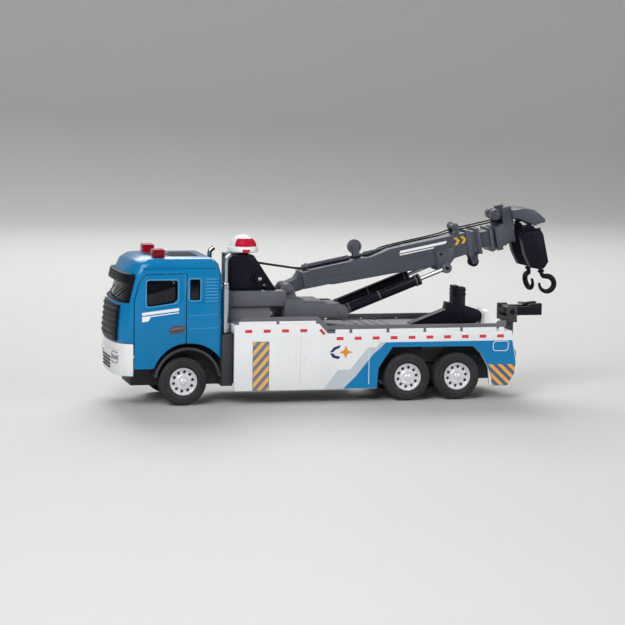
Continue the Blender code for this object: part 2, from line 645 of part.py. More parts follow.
def boom_pieces(slate, black, boom_axis):
    """All pieces that are laid out along the boom, from its hinge outwards."""
    bottom, top, half = BOOM_LOW, BOOM_TOP, BOOM_HALF
    beam = (
        (14, bottom), (14, LOW_BEAM), (50, LOW_BEAM), (61, top), (BOOM_END, top), (BOOM_END, bottom),
        (104, bottom), (98, -2.6), (86, -4.2), (75, -4.8), (60, -3.7), (26, -2.7), (23, bottom),
    )
    root = prism(
        [*arc(0, 0, 3.0, 250, 110, 6), (6.0, 4.2), (9.4, 7.6), (16.0, 7.6), (16.0, -1.6), (6.0, -2.6)],
        -4.8, 4.8,
    )
    main = join(
        root,
        prism(beam, -half, half),
        box(9.4, 14.6, -half, half, -1.9, 7.4),
        box(106.3, 108.3, -half - 1.2, half + 1.2, bottom - 1.2, top + 1.2),
        box(111.5, BOOM_END, -half - 1.2, half + 1.2, bottom - 1.2, top + 1.2),
        bar((11.6, 0, LOW_BEAM + 1.0), (38.6, 0, LOW_BEAM + 1.0), 1.7, 14),
        bar((47.8, 0, LOW_BEAM + 1.0), (69.0, 0, LOW_BEAM + 1.0), 1.7, 14),
        box(41.4, 45.0, 1.4, 2.3, LOW_BEAM - 0.5, RING_V + 0.9),
        box(41.4, 45.0, -2.3, -1.4, LOW_BEAM - 0.5, RING_V + 0.9),
        rod(RING_U, RING_V, -2.0, 2.0, 0.6, 8),
        box(100.3, 102.7, 5.2, 6.4, top - 0.5, 15.0),
        box(100.3, 102.7, -6.4, -5.2, top - 0.5, 15.0),
        rod(101.5, 14.1, -5.8, 5.8, 1.0, 10),
        rod(SNATCH_U, SNATCH_V, -2.8, 2.8, 0.6, 8),
    )
    for sign in (LEFT, RIGHT):
        low, high = sorted((sign * 2.1, sign * 3.3))
        cheek = prism(((107.0, -1.5), (113.0, -1.5), (111.4, -9.0), (108.4, -9.0)), low, high)
        low, high = sorted((sign * 7.5, sign * 10.5))
        lug = prism(
            [(86.4, 3.6), (97.0, 4.0), (96.8, -2.0), *arc(LUG_U, LUG_V, 3.0, 20, -160, 8), (86.4, -3.0)],
            low, high,
        )
        main = join(main, cheek, lug)
    main = cut(
        main,
        prism(
            ((20, bottom + 1.3), (20, LOW_BEAM - 1.3), (49.7, LOW_BEAM - 1.3), (60.5, top - 1.3),
             (130, top - 1.3), (130, bottom + 1.3)),
            1.3 - half, half - 1.3,
        ),
        rod(0, 0, -10, 10, 1.5),
    )
    piece(main, "boom_main", slate, boom_axis)

    inner = join(
        box(62, 119.6, -6.4, 6.4, -0.4, 8.5),
        box(119.5, 121.6, -8.4, 8.4, -3.4, 9.7),
    )
    piece(cut(inner, box(70, 130, -5.2, 5.2, 0.7, 7.4)), "inner_boom", slate, boom_axis)

    body = [(125.8, -2.0), (133.7, 0.2), (133.7, 10.0), (125.8, 10.0)]
    cheek = [(128.6, 8.0), (129.6, 19.6), (134.8, 19.6), (134.8, 8.0)]
    hood = [
        (133.5, 13.2), (133.5, 17.9), (140.0, 17.3), (146.0, 15.5), (148.9, 12.6), (151.0, 9.8),
        (150.6, 7.6), (147.6, 7.2), (144.8, 6.6), (141.9, 9.0), (138.6, 11.4), (135.4, 13.2),
    ]
    head = join(
        box(76, 124, -4.9, 4.9, 1.0, 7.1),
        box(123.2, 126.2, -8.4, 8.4, -3.6, 9.7),
        prism(body, -8, 8),
        box(123.9, 129.4, -1.0, 1.0, 9.0, 17.6),
        prism(cheek, 6.6, 8.0),
        prism(cheek, -8.0, -6.6),
        prism(hood, -13.8, 13.8),
        prism(((148.2, 11.6), (150.9, 9.8), (154.8, 8.0), (154.4, 5.8), (148.2, 6.4)), -4.0, 4.0),
    )
    cavity = ((134.9, 0), (134.9, 15.5), (140.6, 15.3), (145.3, 13.8), (147.6, 11.2), (147.6, 0))
    head = cut(
        head,
        rod(ROLLER_U, ROLLER_V, -5, 5, 1.35, 12),
        prism(cavity, 1.6, 12.6),
        prism(cavity, -12.6, -1.6),
        box(132.0, 136.0, 2.2, 6.4, 11.0, 15.6),
        box(132.0, 136.0, -6.4, -2.2, 11.0, 15.6),
    )
    piece(head, "boom_head", slate, boom_axis)

    ring = ((-1.0, 0.9), (-1.0, 4.0), (-0.4, 4.0), (0.0, 3.4), (0.4, 4.0), (1.0, 4.0), (1.0, 0.9))
    piece(turned(ring, (RING_U, 0, RING_V), (0, 1, 0), 20, closed=True), "ring_pulley", slate, boom_axis)
    snatch = ((-1.8, 0.9), (-1.8, 3.0), (-0.5, 2.4), (0.5, 2.4), (1.8, 3.0), (1.8, 0.9))
    made = turned(snatch, (SNATCH_U, 0, SNATCH_V), (0, 1, 0), 16, closed=True)
    piece(made, "snatch_pulley", black, boom_axis)
    made = join(
        rod(ROLLER_U, ROLLER_V, -6.2, -1.4, 3.1, 20),
        rod(ROLLER_U, ROLLER_V, 1.4, 6.2, 3.1, 20),
        rod(ROLLER_U, ROLLER_V, -3, 3, 1.0, 12),
    )
    piece(made, "head_roller", slate, boom_axis)


def hooks(black, boom_axis):
    """Two rope blocks under the nose, each with a hook on its swivel."""
    swivel_x, throat = 2.4, 4.5
    outline = (
        (-5.0, -4.6), (5.4, -4.6), (6.6, -7.6), (6.9, -23.6), (5.0, -25.6), (swivel_x + 1.2, -26.8),
        (swivel_x - 1.6, -26.8), (-3.6, -24.8), (-5.8, -17.0), (-6.2, -7.4),
    )
    for side, sign in SIDES:
        top = holder(f"hook_line_{side}", HOOK_U, HOOK_V, y=sign * HOOK_Y, parent=boom_axis)
        ring = ((0.4, 0.7), (0.4, 1.5), (2.0, 1.5), (2.0, 0.7))
        piece(turned(ring, (0, 0, 0), (0, 0, -1), 12, closed=True), f"rope_guide_{side}", black, top)
        eye = turned(
            [(0.5 * math.cos(t), 1.5 + 0.5 * math.sin(t)) for t in (0.4, 1.97, 3.54, 5.11)],
            (0, 0, -4.4), (0, 1, 0), 12, closed=True,
        )
        block = join(prism(outline, -2.5, 2.5), eye)
        block = cut(block, bar((swivel_x, 0, -29), (swivel_x, 0, -22), 1.3, 12))
        piece(block, f"hook_block_{side}", black, top)
        turn = holder(f"hook_swivel_{side}", swivel_x, -27.0, parent=top)
        path = [(0, 0, 4.0), (0, 0, -2.4), (0.5, 0, -4.4)]
        radii = [1.0, 1.0, 1.2]
        centre_x, centre_z = 2.2, -9.1
        for k in range(15):
            angle = math.radians(70 - 20 * k)
            path.append((centre_x + throat * math.cos(angle), 0, centre_z + throat * math.sin(angle)))
            radii.append(1.4 if k < 9 else 1.4 - 0.1 * (k - 8))
        hook = join(swept(path, radii, 8), bar((0, 0, -1.9), (0, 0, -0.6), 1.9, 12))
        piece(hook, f"hook_{side}", black, turn)
        turn.rotation_euler = (0, 0, 0.0 if sign == LEFT else math.radians(100))


def smooth_route(points, spacing):
    """Even points on a Catmull-Rom curve through the route's own points."""
    corners = [Vector(p) for p in points]
    corners = [corners[0], *corners, corners[-1]]
    fine = []
    for a, b, c, d in zip(corners, corners[1:], corners[2:], corners[3:]):
        for k in range(24):
            t = k / 24
            fine.append(0.5 * (2 * b + (c - a) * t + (2 * a - 5 * b + 4 * c - d) * t**2
                               + (3 * b - a - 3 * c + d) * t**3))
    fine.append(corners[-1])
    even, left = [fine[0]], spacing
    for start, end in zip(fine, fine[1:]):
        left -= (end - start).length
        if left <= 0:
            even.append(end)
            left = spacing
    if (even[-1] - fine[-1]).length < spacing / 2:
        even.pop()
    return [*even, fine[-1]]


def winch_ropes(black):
    """Each rope from its drum, along the boom and over the head to its block."""
    cos, sin = math.cos(BOOM_TILT), math.sin(BOOM_TILT)
    for side, sign in SIDES:
        route = [(-48.2, 67.6, 4.3), (-47.6, 72.0, 4.3), (-45.4, 74.5, 4.3), (-42.8, 74.6, 4.2)]
        route += [(-36.0, 73.6, 3.9), (-28.0, 72.4, 3.6)]
        along = [
            (10.4, 8.9, 3.2), (14.6, 9.1, 3.1), (22, 9.1, 3.1), (50, 9.2, 3.1), (62, 10.9, 3.1), (90, 11.3, 3.4),
            (101.5, 12.3, 4.0), (112, 12.4, 4.2), (126, 12.6, 4.3), (134, 13.1, 4.5),
            (138.4, 13.3, 7.2), (141.4, 12.6, 10.2), (142.5, 10.4, 11.0), (142.5, 6.5, 11.0),
        ]
        route += [(HINGE_X + u * cos - v * sin, HINGE_Z + u * sin + v * cos, y) for u, v, y in along]
        points = smooth_route([(x, sign * y, z) for x, z, y in route], 4.5)
        curve = bpy.data.curves.new("rope", "CURVE")
        curve.dimensions = "3D"
        curve.bevel_depth = ROPE_D / 2 * MM
        curve.bevel_resolution = 2
        curve.use_fill_caps = True
        line = curve.splines.new("POLY")
        line.points.add(len(points) - 1)
        for spot, point in zip(line.points, points):
            spot.co = (*(point * MM), 1.0)
        rope = bpy.data.objects.new(f"winch_rope_{side}", curve)
        bpy.context.scene.collection.objects.link(rope)
        curve.materials.append(black)


def lift_cylinders(black, chrome):
    """The pair of lift rams: barrels hinged on the frame, rods up to the boom."""
    cos, sin = math.cos(BOOM_TILT), math.sin(BOOM_TILT)
    end_x = HINGE_X + LUG_U * cos - LUG_V * sin - RAM_X
    end_z = HINGE_Z + LUG_U * sin + LUG_V * cos - RAM_Z
    length, tilt = math.hypot(end_x, end_z), math.atan2(end_z, end_x)
    for side, sign in SIDES:
        base = holder(f"ram_axis_{side}", RAM_X, RAM_Z, tilt, y=sign * RAM_Y)
        barrel = join(
            bar((0, 0, 0), (49.7, 0, 0), 2.8, 18),
            rod(0, 0, -2.8, 2.8, 2.8, 16),
            bar((47.0, 0, 0), (49.7, 0, 0), 3.2, 18),
        )
        barrel = cut(barrel, bar((8.0, 0, 0), (55, 0, 0), 1.6, 12))
        piece(barrel, f"ram_barrel_{side}", black, base)
        ram = join(
            bar((16.0, 0, 0), (length - 0.5, 0, 0), 1.2, 12),
            rod(length, 0, -1.5, 1.5, 2.6, 18),
        )
        piece(ram, f"ram_rod_{side}", chrome, base)


# --------------------------------------------------------------- underlift


def underlift(dark, black):
    """Arm that folds down from the tail, and the fork on its cross bar."""
    fold = holder("underlift_hinge", FOLD_X, FOLD_Z)
    arm = join(
        rod(0, 0, -4.0, 4.0, 3.0, 16),
        box(-2.6, 2.6, -4.0, 4.0, 0, 21.0),
        box(-2.6, 2.6, -10.5, 10.5, 18.0, 27.0),
    )
    arm = cut(arm, rod(0, FORK_Z - FOLD_Z, -20, 20, 1.4, 12), box(-5, 5, -7.4, 7.4, 20.6, 30))
    piece(arm, "underlift_arm", dark, fold)
    hinge = holder("fork_hinge", 0, FORK_Z - FOLD_Z, parent=fold)
    fork = join(
        rod(0, 0, -7.0, 7.0, 2.6, 16),
        rod(0, 0, -11.6, 11.6, 1.1, 12),
        *(box(0, 18.5, y - 2.0, y + 2.0, -2.4, 2.4) for y in (-5.0, 5.0)),
        *(prism(((10.0, 1.0), (18.5, 1.0), (18.5, 4.2), (11.5, 3.6)), y - 2.0, y + 2.0) for y in (-5.0, 5.0)),
    )
    piece(fork, "tow_fork", black, hinge)


def clear_scene():
    for found in list(bpy.data.objects):
        bpy.data.objects.remove(found)


def main():
    clear_scene()
    blue = finish("cab_blue", (0.0, 0.15, 0.36), 0.25)
    white = finish("body_white", (0.78, 0.8, 0.81), 0.35)
    dark = finish("chassis_black", (0.03, 0.03, 0.035), 0.5)
    black = finish("gear_black", (0.012, 0.013, 0.02), 0.4)
    slate = finish("boom_slate", (0.06, 0.07, 0.09), 0.45)
    grey = finish("deck_grey", (0.16, 0.17, 0.19), 0.5)
    silver = finish("rim_silver", (0.6, 0.6, 0.63), 0.3, 0.8)
    chrome = finish("chrome", (0.8, 0.8, 0.82), 0.1, 1.0)
    steel = finish("steel", (0.55, 0.55, 0.56), 0.3, 1.0)
    tyre = finish("tyre_rubber", (0.02, 0.02, 0.022), 0.7)
    glass = finish("smoked_glazing", (0.05, 0.06, 0.07), 0.08, alpha=0.5)
    red = finish("lamp_red", (0.3, 0.005, 0.01), 0.15)
    nylon = finish("gear_nylon", (0.7, 0.7, 0.66), 0.5)
    green = finish("module_case", (0.05, 0.16, 0.09), 0.5)

    wheels = (("front", FRONT_AXLE_X), ("middle", MIDDLE_AXLE_X), ("rear", REAR_AXLE_X))
    for place, x in wheels:
        axle_set(place, x, steel, silver, tyre)
    drive_train(dark, nylon, steel)
    chassis(dark)
    cab(blue, black, white, glass, red)
    cab_inside(black)
    exhausts(chrome)
    recovery_body(white)
    deck(grey)
    sound_module(green)
    rear_mast(black)
    slewing_frame(grey)
    winch(black, white)
    boom_axis = holder("boom_axis", HINGE_X, HINGE_Z, BOOM_TILT)
    boom_pieces(slate, black, boom_axis)
    hooks(black, boom_axis)
    lift_cylinders(black, chrome)
    winch_ropes(black)
    underlift(dark, black)


main()
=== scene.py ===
# %% [markdown]
# # A toy tow truck, finished piece by piece
# The moulded parts already exist as a fixed frame: their sizes and hinges are settled.
# Here each part gets the rounded edges, the paint, the decals and the small fittings that
# make it read as a pad-printed plastic toy. We start by loading the frame.

# %% Load the frame
import json
import math

import bmesh
import bpy
from mathutils import Matrix, Vector


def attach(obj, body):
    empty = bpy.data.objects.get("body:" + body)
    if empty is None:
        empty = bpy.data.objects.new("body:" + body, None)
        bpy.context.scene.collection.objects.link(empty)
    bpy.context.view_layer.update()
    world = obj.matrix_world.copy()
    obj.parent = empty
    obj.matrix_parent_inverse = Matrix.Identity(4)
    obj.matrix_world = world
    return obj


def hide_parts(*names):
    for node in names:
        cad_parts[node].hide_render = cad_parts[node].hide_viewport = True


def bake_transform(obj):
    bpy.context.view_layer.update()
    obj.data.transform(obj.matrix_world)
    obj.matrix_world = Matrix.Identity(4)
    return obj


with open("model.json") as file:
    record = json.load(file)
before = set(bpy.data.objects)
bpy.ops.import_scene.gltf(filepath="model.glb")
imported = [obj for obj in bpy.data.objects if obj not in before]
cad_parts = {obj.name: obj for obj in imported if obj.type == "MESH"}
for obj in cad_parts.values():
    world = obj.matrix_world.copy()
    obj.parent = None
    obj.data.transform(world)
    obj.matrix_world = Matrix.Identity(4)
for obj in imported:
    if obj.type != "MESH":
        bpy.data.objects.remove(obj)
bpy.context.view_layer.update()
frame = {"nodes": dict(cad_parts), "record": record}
node_body = {n: b for b, ns in frame["record"]["behaviour"]["bodies"].items() for n in ns}
node_slot = {s["node"]: s["material_slot"] for s in frame["record"]["subparts"]}
MM = 0.001
SIDES = (("left", -1), ("right", 1))

# %% [markdown]
# The camera looks at the truck's left side from far away through a long lens, which keeps
# the wheels round. Its matrix is built from a heading, a downward tilt and a slight roll.

# %% Camera
heading, downward, roll = 0.244861, 0.113673, 0.0142096
forward = Vector((
    math.sin(heading) * math.cos(downward),
    math.cos(heading) * math.cos(downward),
    -math.sin(downward),
))
level = Vector((math.cos(heading), -math.sin(heading), 0.0))
upward = level.cross(forward)
right = level * math.cos(roll) + upward * math.sin(roll)
upward = right.cross(forward)
place = Matrix((right, upward, -forward)).transposed().to_4x4()
place.translation = (-0.35215, -1.3635, 0.2069)
bpy.ops.object.camera_add()
camera = bpy.context.object
camera.matrix_world = place
camera.data.lens = 146.02
camera.data.clip_end = 20
bpy.context.scene.camera = camera
print("camera lens", camera.data.lens)

# %% [markdown]
# A product table: one pale sheet that curves up behind, so that no horizon shows. A broad
# key light comes from the upper left, a soft fill from the right, and a lamp behind draws a
# bright line along the roof and the boom. The world is a light grey, so that glossy paint
# always has something to reflect.

# %% Floor and lights
sheet_size, sheet_shift, bend_steps, bend_length, wall_rise = 6, -1.8, 10, 0.09, 1.5
bpy.ops.mesh.primitive_plane_add(size=sheet_size, location=(0, sheet_shift, -0.0002))
bpy.ops.object.mode_set(mode="EDIT")
cage = bmesh.from_edit_mesh(bpy.context.object.data)
for edge in cage.edges:
    edge.select = all(v.co.y > sheet_size / 2 - 0.1 for v in edge.verts)
bmesh.update_edit_mesh(bpy.context.object.data)
for step in range(bend_steps):
    lean = math.radians(90 * (step + 0.5) / bend_steps)
    rise = (0, bend_length * math.cos(lean), bend_length * math.sin(lean))
    bpy.ops.mesh.extrude_region_move(TRANSFORM_OT_translate={"value": rise})
bpy.ops.mesh.extrude_region_move(TRANSFORM_OT_translate={"value": (0, 0, wall_rise)})
bpy.ops.mesh.select_all(action="SELECT")
bpy.ops.mesh.normals_make_consistent(inside=False)
bpy.ops.object.mode_set(mode="OBJECT")
bpy.ops.object.shade_smooth()
floor = bpy.context.object
floor.name = "floor"
floor_finish = bpy.data.materials.new("pale_floor")
floor_finish.use_nodes = True
floor_shader = floor_finish.node_tree.nodes["Principled BSDF"]
floor_shader.inputs["Base Color"].default_value = (0.72, 0.72, 0.71, 1)
floor_shader.inputs["Roughness"].default_value = 0.6
floor.data.materials.append(floor_finish)

world = bpy.data.worlds.new("studio")
world.use_nodes = True
world.node_tree.nodes["Background"].inputs["Color"].default_value = (0.86, 0.89, 0.93, 1)
world.node_tree.nodes["Background"].inputs["Strength"].default_value = 0.86
bpy.context.scene.world = world
bpy.context.scene.view_settings.view_transform = "Standard"
for spot, size, power in (
    ((-0.75, -0.95, 0.95), 0.9, 17.0),
    ((0.85, -0.9, 0.5), 0.8, 5.6),
    ((0.1, 0.9, 0.8), 0.7, 7.0),
):
    bpy.ops.object.light_add(type="AREA", location=spot)
    lamp = bpy.context.object
    lamp.data.energy, lamp.data.size = power, size
    lamp.rotation_euler = (-Vector(spot)).to_track_quat("-Z", "Y").to_euler()
print("lights ready")

# %% [markdown]
# Nearly everything here is moulded plastic, so one recipe serves most finishes. Broad noise
# shifts the colour a little, as pigment does in a mould; middle noise breaks up the gloss;
# fine noise is the mould's grain, as bump. All of it reads object coordinates in metres, so
# a scale of 900 means a grain about one millimetre across.


# %% The plastic recipe
def plastic(name, colour, rough, drift=0.12, grain=900.0, bump=0.08, coat=0.0, metal=0.0,
            shine=0.28):
    finish = bpy.data.materials.new(name)
    finish.use_nodes = True
    tree = finish.node_tree
    shader = tree.nodes["Principled BSDF"]
    shader.inputs["Metallic"].default_value = metal
    shader.inputs["Specular IOR Level"].default_value = 0.5 if metal else shine
    shader.inputs["Coat Weight"].default_value = coat
    shader.inputs["Coat Roughness"].default_value = 0.06
    where = tree.nodes.new("ShaderNodeTexCoord")

    def noise(scale, detail):
        node = tree.nodes.new("ShaderNodeTexNoise")
        node.inputs["Scale"].default_value = scale
        node.inputs["Detail"].default_value = detail
        tree.links.new(where.outputs["Object"], node.inputs["Vector"])
        return node.outputs["Fac"]

    shade = tree.nodes.new("ShaderNodeValToRGB")
    for stop, share in zip(shade.color_ramp.elements, (1 - drift, 1 + drift)):
        stop.color = (*(min(1.0, c * share) for c in colour), 1)
    shade.color_ramp.elements[0].position = 0.3
    shade.color_ramp.elements[1].position = 0.7
    tree.links.new(noise(38.0, 3), shade.inputs["Fac"])
    tree.links.new(shade.outputs["Color"], shader.inputs["Base Color"])
    gloss = tree.nodes.new("ShaderNodeMapRange")
    gloss.inputs["To Min"].default_value = rough * 0.8
    gloss.inputs["To Max"].default_value = min(1.0, rough * 1.25)
    tree.links.new(noise(210.0, 4), gloss.inputs["Value"])
    tree.links.new(gloss.outputs["Result"], shader.inputs["Roughness"])
    relief = tree.nodes.new("ShaderNodeBump")
    relief.inputs["Strength"].default_value = bump
    relief.inputs["Distance"].default_value = 0.0001
    tree.links.new(noise(grain, 2), relief.inputs["Height"])
    tree.links.new(relief.outputs["Normal"], shader.inputs["Normal"])
    return finish


finishes = {
    "cab_blue": plastic("cab_blue_paint", (0.0, 0.185, 0.43), 0.24, 0.05, 500, 0.03, 0.15),
    # A lighter copy of the cab blue: painted highlight on the edges of lips, louvres and swage
    # lines.
    "painted_highlight_blue": plastic("painted_highlight_blue", (0.06, 0.3, 0.56), 0.3, 0.05, 500, 0.03, 0.1),
    "body_white": plastic("body_white", (0.78, 0.8, 0.81), 0.33, 0.03, 700, 0.04, 0.2),
    "chassis_black": plastic("chassis_plastic", (0.042, 0.044, 0.049), 0.55, 0.25, 1500, 0.25),
    "gear_black": plastic("gear_plastic", (0.005, 0.0055, 0.012), 0.4, 0.25, 1300, 0.16,
                          shine=0.14),
    "boom_slate": plastic("boom_plastic", (0.062, 0.07, 0.092), 0.36, 0.16, 1400, 0.18),
    "deck_grey": plastic("deck_plastic", (0.13, 0.135, 0.155), 0.45, 0.12, 1300, 0.16),
    "frame_grey": plastic("frame_plastic", (0.1, 0.105, 0.125), 0.42, 0.14, 1300, 0.18),
    "rim_silver": plastic("rim_paint", (0.74, 0.75, 0.79), 0.32, 0.1, 2200, 0.15, 0.2, 0.35),
    "bright_plastic": plastic("bright_plating", (0.56, 0.56, 0.58), 0.17, 0.05, 700, 0.04, 0, 1),
    "steel": plastic("steel", (0.5, 0.5, 0.52), 0.3, 0.1, 3000, 0.1, 0, 1),
    "tyre_rubber": plastic("tyre_rubber", (0.026, 0.026, 0.028), 0.75, 0.3, 1900, 0.4),
    "lamp_red": plastic("lamp_red", (0.24, 0.0, 0.01), 0.16, 0.25, 500, 0.05, 0.35),
    "window_red": plastic("window_red", (0.5, 0.004, 0.03), 0.16, 0.3, 500, 0.05, 0.35),
    "gear_nylon": plastic("gear_nylon", (0.66, 0.65, 0.6), 0.5, 0.05),
    "module_case": plastic("module_case", (0.05, 0.16, 0.09), 0.5),
    "print_red": plastic("print_red", (0.7, 0.035, 0.05), 0.4, 0.1),
    "print_blue": plastic("print_blue", (0.0, 0.185, 0.43), 0.3, 0.05, 500, 0.03, 0.1),
    "print_pale": plastic("print_pale", (0.5, 0.55, 0.6), 0.35, 0.04, 700, 0.03, 0.2),
    "print_white": plastic("print_white", (0.83, 0.85, 0.86), 0.4, 0.03),
    # Near-black: painted shade in the rim holes, the exhaust slots and the exhaust mouths.
    "painted_shade_dark": plastic("painted_shade_dark", (0.02, 0.022, 0.03), 0.4, 0.1),
    "print_navy": plastic("print_navy", (0.02, 0.035, 0.16), 0.4, 0.1),
    "print_orange": plastic("print_orange", (0.72, 0.3, 0.03), 0.4, 0.12),
    "print_amber": plastic("print_amber", (0.66, 0.38, 0.02), 0.4, 0.2),
}
print(len(finishes), "plastic finishes")

# %% [markdown]
# The panes are a separate clear insert. A principled shader with transmission would need
# many bounces in so small a cab, so a dark, mostly see-through alpha is the better choice:
# it shows the seats faintly and still carries the room's reflection.

# %% Smoked panes
panes = plastic("smoked_panes", (0.003, 0.004, 0.008), 0.06, 0.2, 300, 0.01, 0.3)
panes.node_tree.nodes["Principled BSDF"].inputs["Alpha"].default_value = 0.86
finishes["smoked_glazing"] = panes

# %% [markdown]
# Warning stripes lean the same way on every panel of a recovery truck. They are painted by
# one ramp: the height and the run along the truck are added, the sum is wrapped to one
# stripe pitch, and half of each pitch is dark.


# %% Warning stripes
def stripes(name, light, dark, pitch, lean):
    finish = plastic(name, light, 0.38, 0.05)
    tree = finish.node_tree
    shader = tree.nodes["Principled BSDF"]
    where = next(n for n in tree.nodes if n.type == "TEX_COORD")
    split = tree.nodes.new("ShaderNodeSeparateXYZ")
    tree.links.new(where.outputs["Object"], split.inputs["Vector"])
    run = tree.nodes.new("ShaderNodeMath")
    run.operation = "MULTIPLY_ADD"
    run.inputs[1].default_value = lean
    tree.links.new(split.outputs["X"], run.inputs[0])
    tree.links.new(split.outputs["Z"], run.inputs[2])
    wrap = tree.nodes.new("ShaderNodeMath")
    wrap.operation = "PINGPONG"
    wrap.inputs[1].default_value = pitch / 2
    tree.links.new(run.outputs[0], wrap.inputs[0])
    choose = tree.nodes.new("ShaderNodeMath")
    choose.operation = "GREATER_THAN"
    choose.inputs[1].default_value = pitch / 4
    tree.links.new(wrap.outputs[0], choose.inputs[0])
    mix = tree.nodes.new("ShaderNodeMix")
    mix.data_type = "RGBA"
    mix.inputs["A"].default_value = (*light, 1)
    mix.inputs["B"].default_value = (*dark, 1)
    tree.links.new(choose.outputs[0], mix.inputs["Factor"])
    tree.links.new(mix.outputs["Result"], shader.inputs["Base Color"])
    return finish


finishes["hazard"] = stripes(
    "hazard_stripes", (0.8, 0.46, 0.1), (0.17, 0.18, 0.27), 0.0058, -1.15)
finishes["hazard_rear"] = stripes(
    "hazard_rear", (0.8, 0.37, 0.06), (0.06, 0.13, 0.24), 0.0052, 0.95)
print("stripes ready")

# %% [markdown]
# Every new piece is handled the same way at the end: it gets its finish, its soft shading,
# and the body that carries it, which is the truck itself unless another is named. Selection
# matters because operators act on all that is selected, so `alone` clears it first.
# `settle` moves a piece's place into its mesh.


# %% Small helpers
def alone(piece):
    bpy.ops.object.select_all(action="DESELECT")
    piece.hide_set(False)
    piece.select_set(True)
    bpy.context.view_layer.objects.active = piece
    return piece


def settle(piece):
    alone(piece)
    bpy.ops.object.transform_apply(location=True, rotation=True, scale=True)
    return piece


def apply_all(piece):
    alone(piece)
    for modifier in list(piece.modifiers):
        bpy.ops.object.modifier_apply(modifier=modifier.name)
    return piece


def start_editing():
    """Enters edit mode with all of the piece selected."""
    bpy.ops.object.mode_set(mode="EDIT")
    bpy.ops.mesh.select_all(action="SELECT")


def close_editing():
    """Turns every face of the piece outwards and leaves edit mode."""
    bpy.ops.mesh.select_all(action="SELECT")
    bpy.ops.mesh.normals_make_consistent(inside=False)
    bpy.ops.object.mode_set(mode="OBJECT")


def round_edges(piece, width, segments=2, angle=35):
    bevel = piece.modifiers.new("edges", "BEVEL")
    bevel.width, bevel.segments = width * MM, segments
    bevel.limit_method, bevel.angle_limit = "ANGLE", math.radians(angle)
    return apply_all(piece)


def finished(piece, name, finish, body="truck", stands_for=(), smooth=40):
    piece.name = name
    piece.data.name = name
    piece.data.materials.clear()
    piece.data.materials.append(finishes[finish])
    alone(piece)
    bpy.ops.object.shade_smooth_by_angle(angle=math.radians(smooth))
    if body:
        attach(piece, body)
    for node in stands_for:
        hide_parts(node)
    return piece


bpy.ops.object.select_all(action="DESELECT")

# %% [markdown]
# A real moulding has no knife edges: each corner keeps a radius of a few tenths of a
# millimetre, and that thin highlight is what makes plastic look like plastic. Each CAD mesh
# is copied, its loose triangles are welded, flat faces are merged again, and a bevel rounds
# what is still sharp. The copy then stands for its node.


# %% Rounded copies of the moulded parts
def moulded(node, width, finish=None, levels=0, segments=2):
    source = frame["nodes"][node]
    copy = source.copy()
    copy.data = source.data.copy()
    for key in list(copy.keys()):
        del copy[key]
    copy.parent = None
    bpy.context.scene.collection.objects.link(copy)
    alone(copy)
    start_editing()
    bpy.ops.mesh.remove_doubles(threshold=0.000004)
    bpy.ops.mesh.dissolve_limited(angle_limit=math.radians(1.5))
    bpy.ops.object.mode_set(mode="OBJECT")
    if "sharp_edge" in copy.data.attributes:
        copy.data.attributes.remove(copy.data.attributes["sharp_edge"])
    bpy.ops.mesh.customdata_custom_splitnormals_clear()
    if width:
        round_edges(copy, width, segments)
    return finished(copy, f"{node}_moulded", finish or node_slot[node], node_body[node], (node,))


plan = {
    0.35: ("cab_shell", "bumper", "slewing_frame", "winch_tower", "rear_mast", "boom_head"),
    0.3: ("cab_door_left", "cab_door_right", "boom_main", "inner_boom", "sun_visor", "grille"),
    0.25: ("body_shell", "deck", "chassis", "tow_fork", "underlift_arm", "cab_interior"),
    0.2: ("ram_barrel_left", "ram_barrel_right", "ram_rod_left", "ram_rod_right"),
    0.15: ("winch_drum_left", "winch_drum_right", "snatch_pulley", "head_roller"),
    0.1: ("rope_guide_left", "rope_guide_right", "door_glass_left", "door_glass_right"),
}
other_finish = {"slewing_frame": "frame_grey", "cab_interior": "chassis_black"}
for width, nodes in plan.items():
    for node in nodes:
        moulded(node, width, other_finish.get(node))
for node in ("cab_glazing", "drive_casing", "drive_gear", "flywheel", "sound_module",
             "front_axle", "middle_axle", "rear_axle"):
    moulded(node, 0)
for side, _ in SIDES:
    moulded(f"hook_block_{side}", 0.8, segments=3)
print("moulded copies made")

# %% [markdown]
# Four kinds of new piece cover the rest. A block starts as a cube at its size and place. A
# peg is a cylinder laid between two points. A turned piece is a drawn profile that the spin
# tool carries round an axis. Piping is a line with a round bevel, for seals and pipes.
# Printed areas are outlines a tenth of a millimetre thick, because ink has an edge too.


# %% Makers for new pieces
def from_points(points, edges=(), faces=()):
    """A new mesh piece from points in millimetres, linked and selected."""
    data = bpy.data.meshes.new("outline")
    data.from_pydata([[c * MM for c in point] for point in points], edges, faces)
    piece = bpy.data.objects.new("outline", data)
    bpy.context.scene.collection.objects.link(piece)
    return alone(piece)


def block(low, high, width=0.3, segments=2):
    bpy.ops.object.select_all(action="DESELECT")
    middle = [(a + b) / 2 * MM for a, b in zip(low, high)]
    bpy.ops.mesh.primitive_cube_add(size=1, location=middle)
    piece = bpy.context.object
    piece.scale = [abs(b - a) * MM for a, b in zip(low, high)]
    settle(piece)
    return round_edges(piece, width, segments) if width else piece


def peg(start, end, radius, sides=24, width=0.12):
    bpy.ops.object.select_all(action="DESELECT")
    run = Vector(end) - Vector(start)
    bpy.ops.mesh.primitive_cylinder_add(
        vertices=sides, radius=radius * MM, depth=run.length * MM,
        location=(Vector(start) + run / 2) * MM,
        rotation=run.to_track_quat("Z", "Y").to_euler(),
    )
    piece = settle(bpy.context.object)
    return round_edges(piece, width) if width else piece


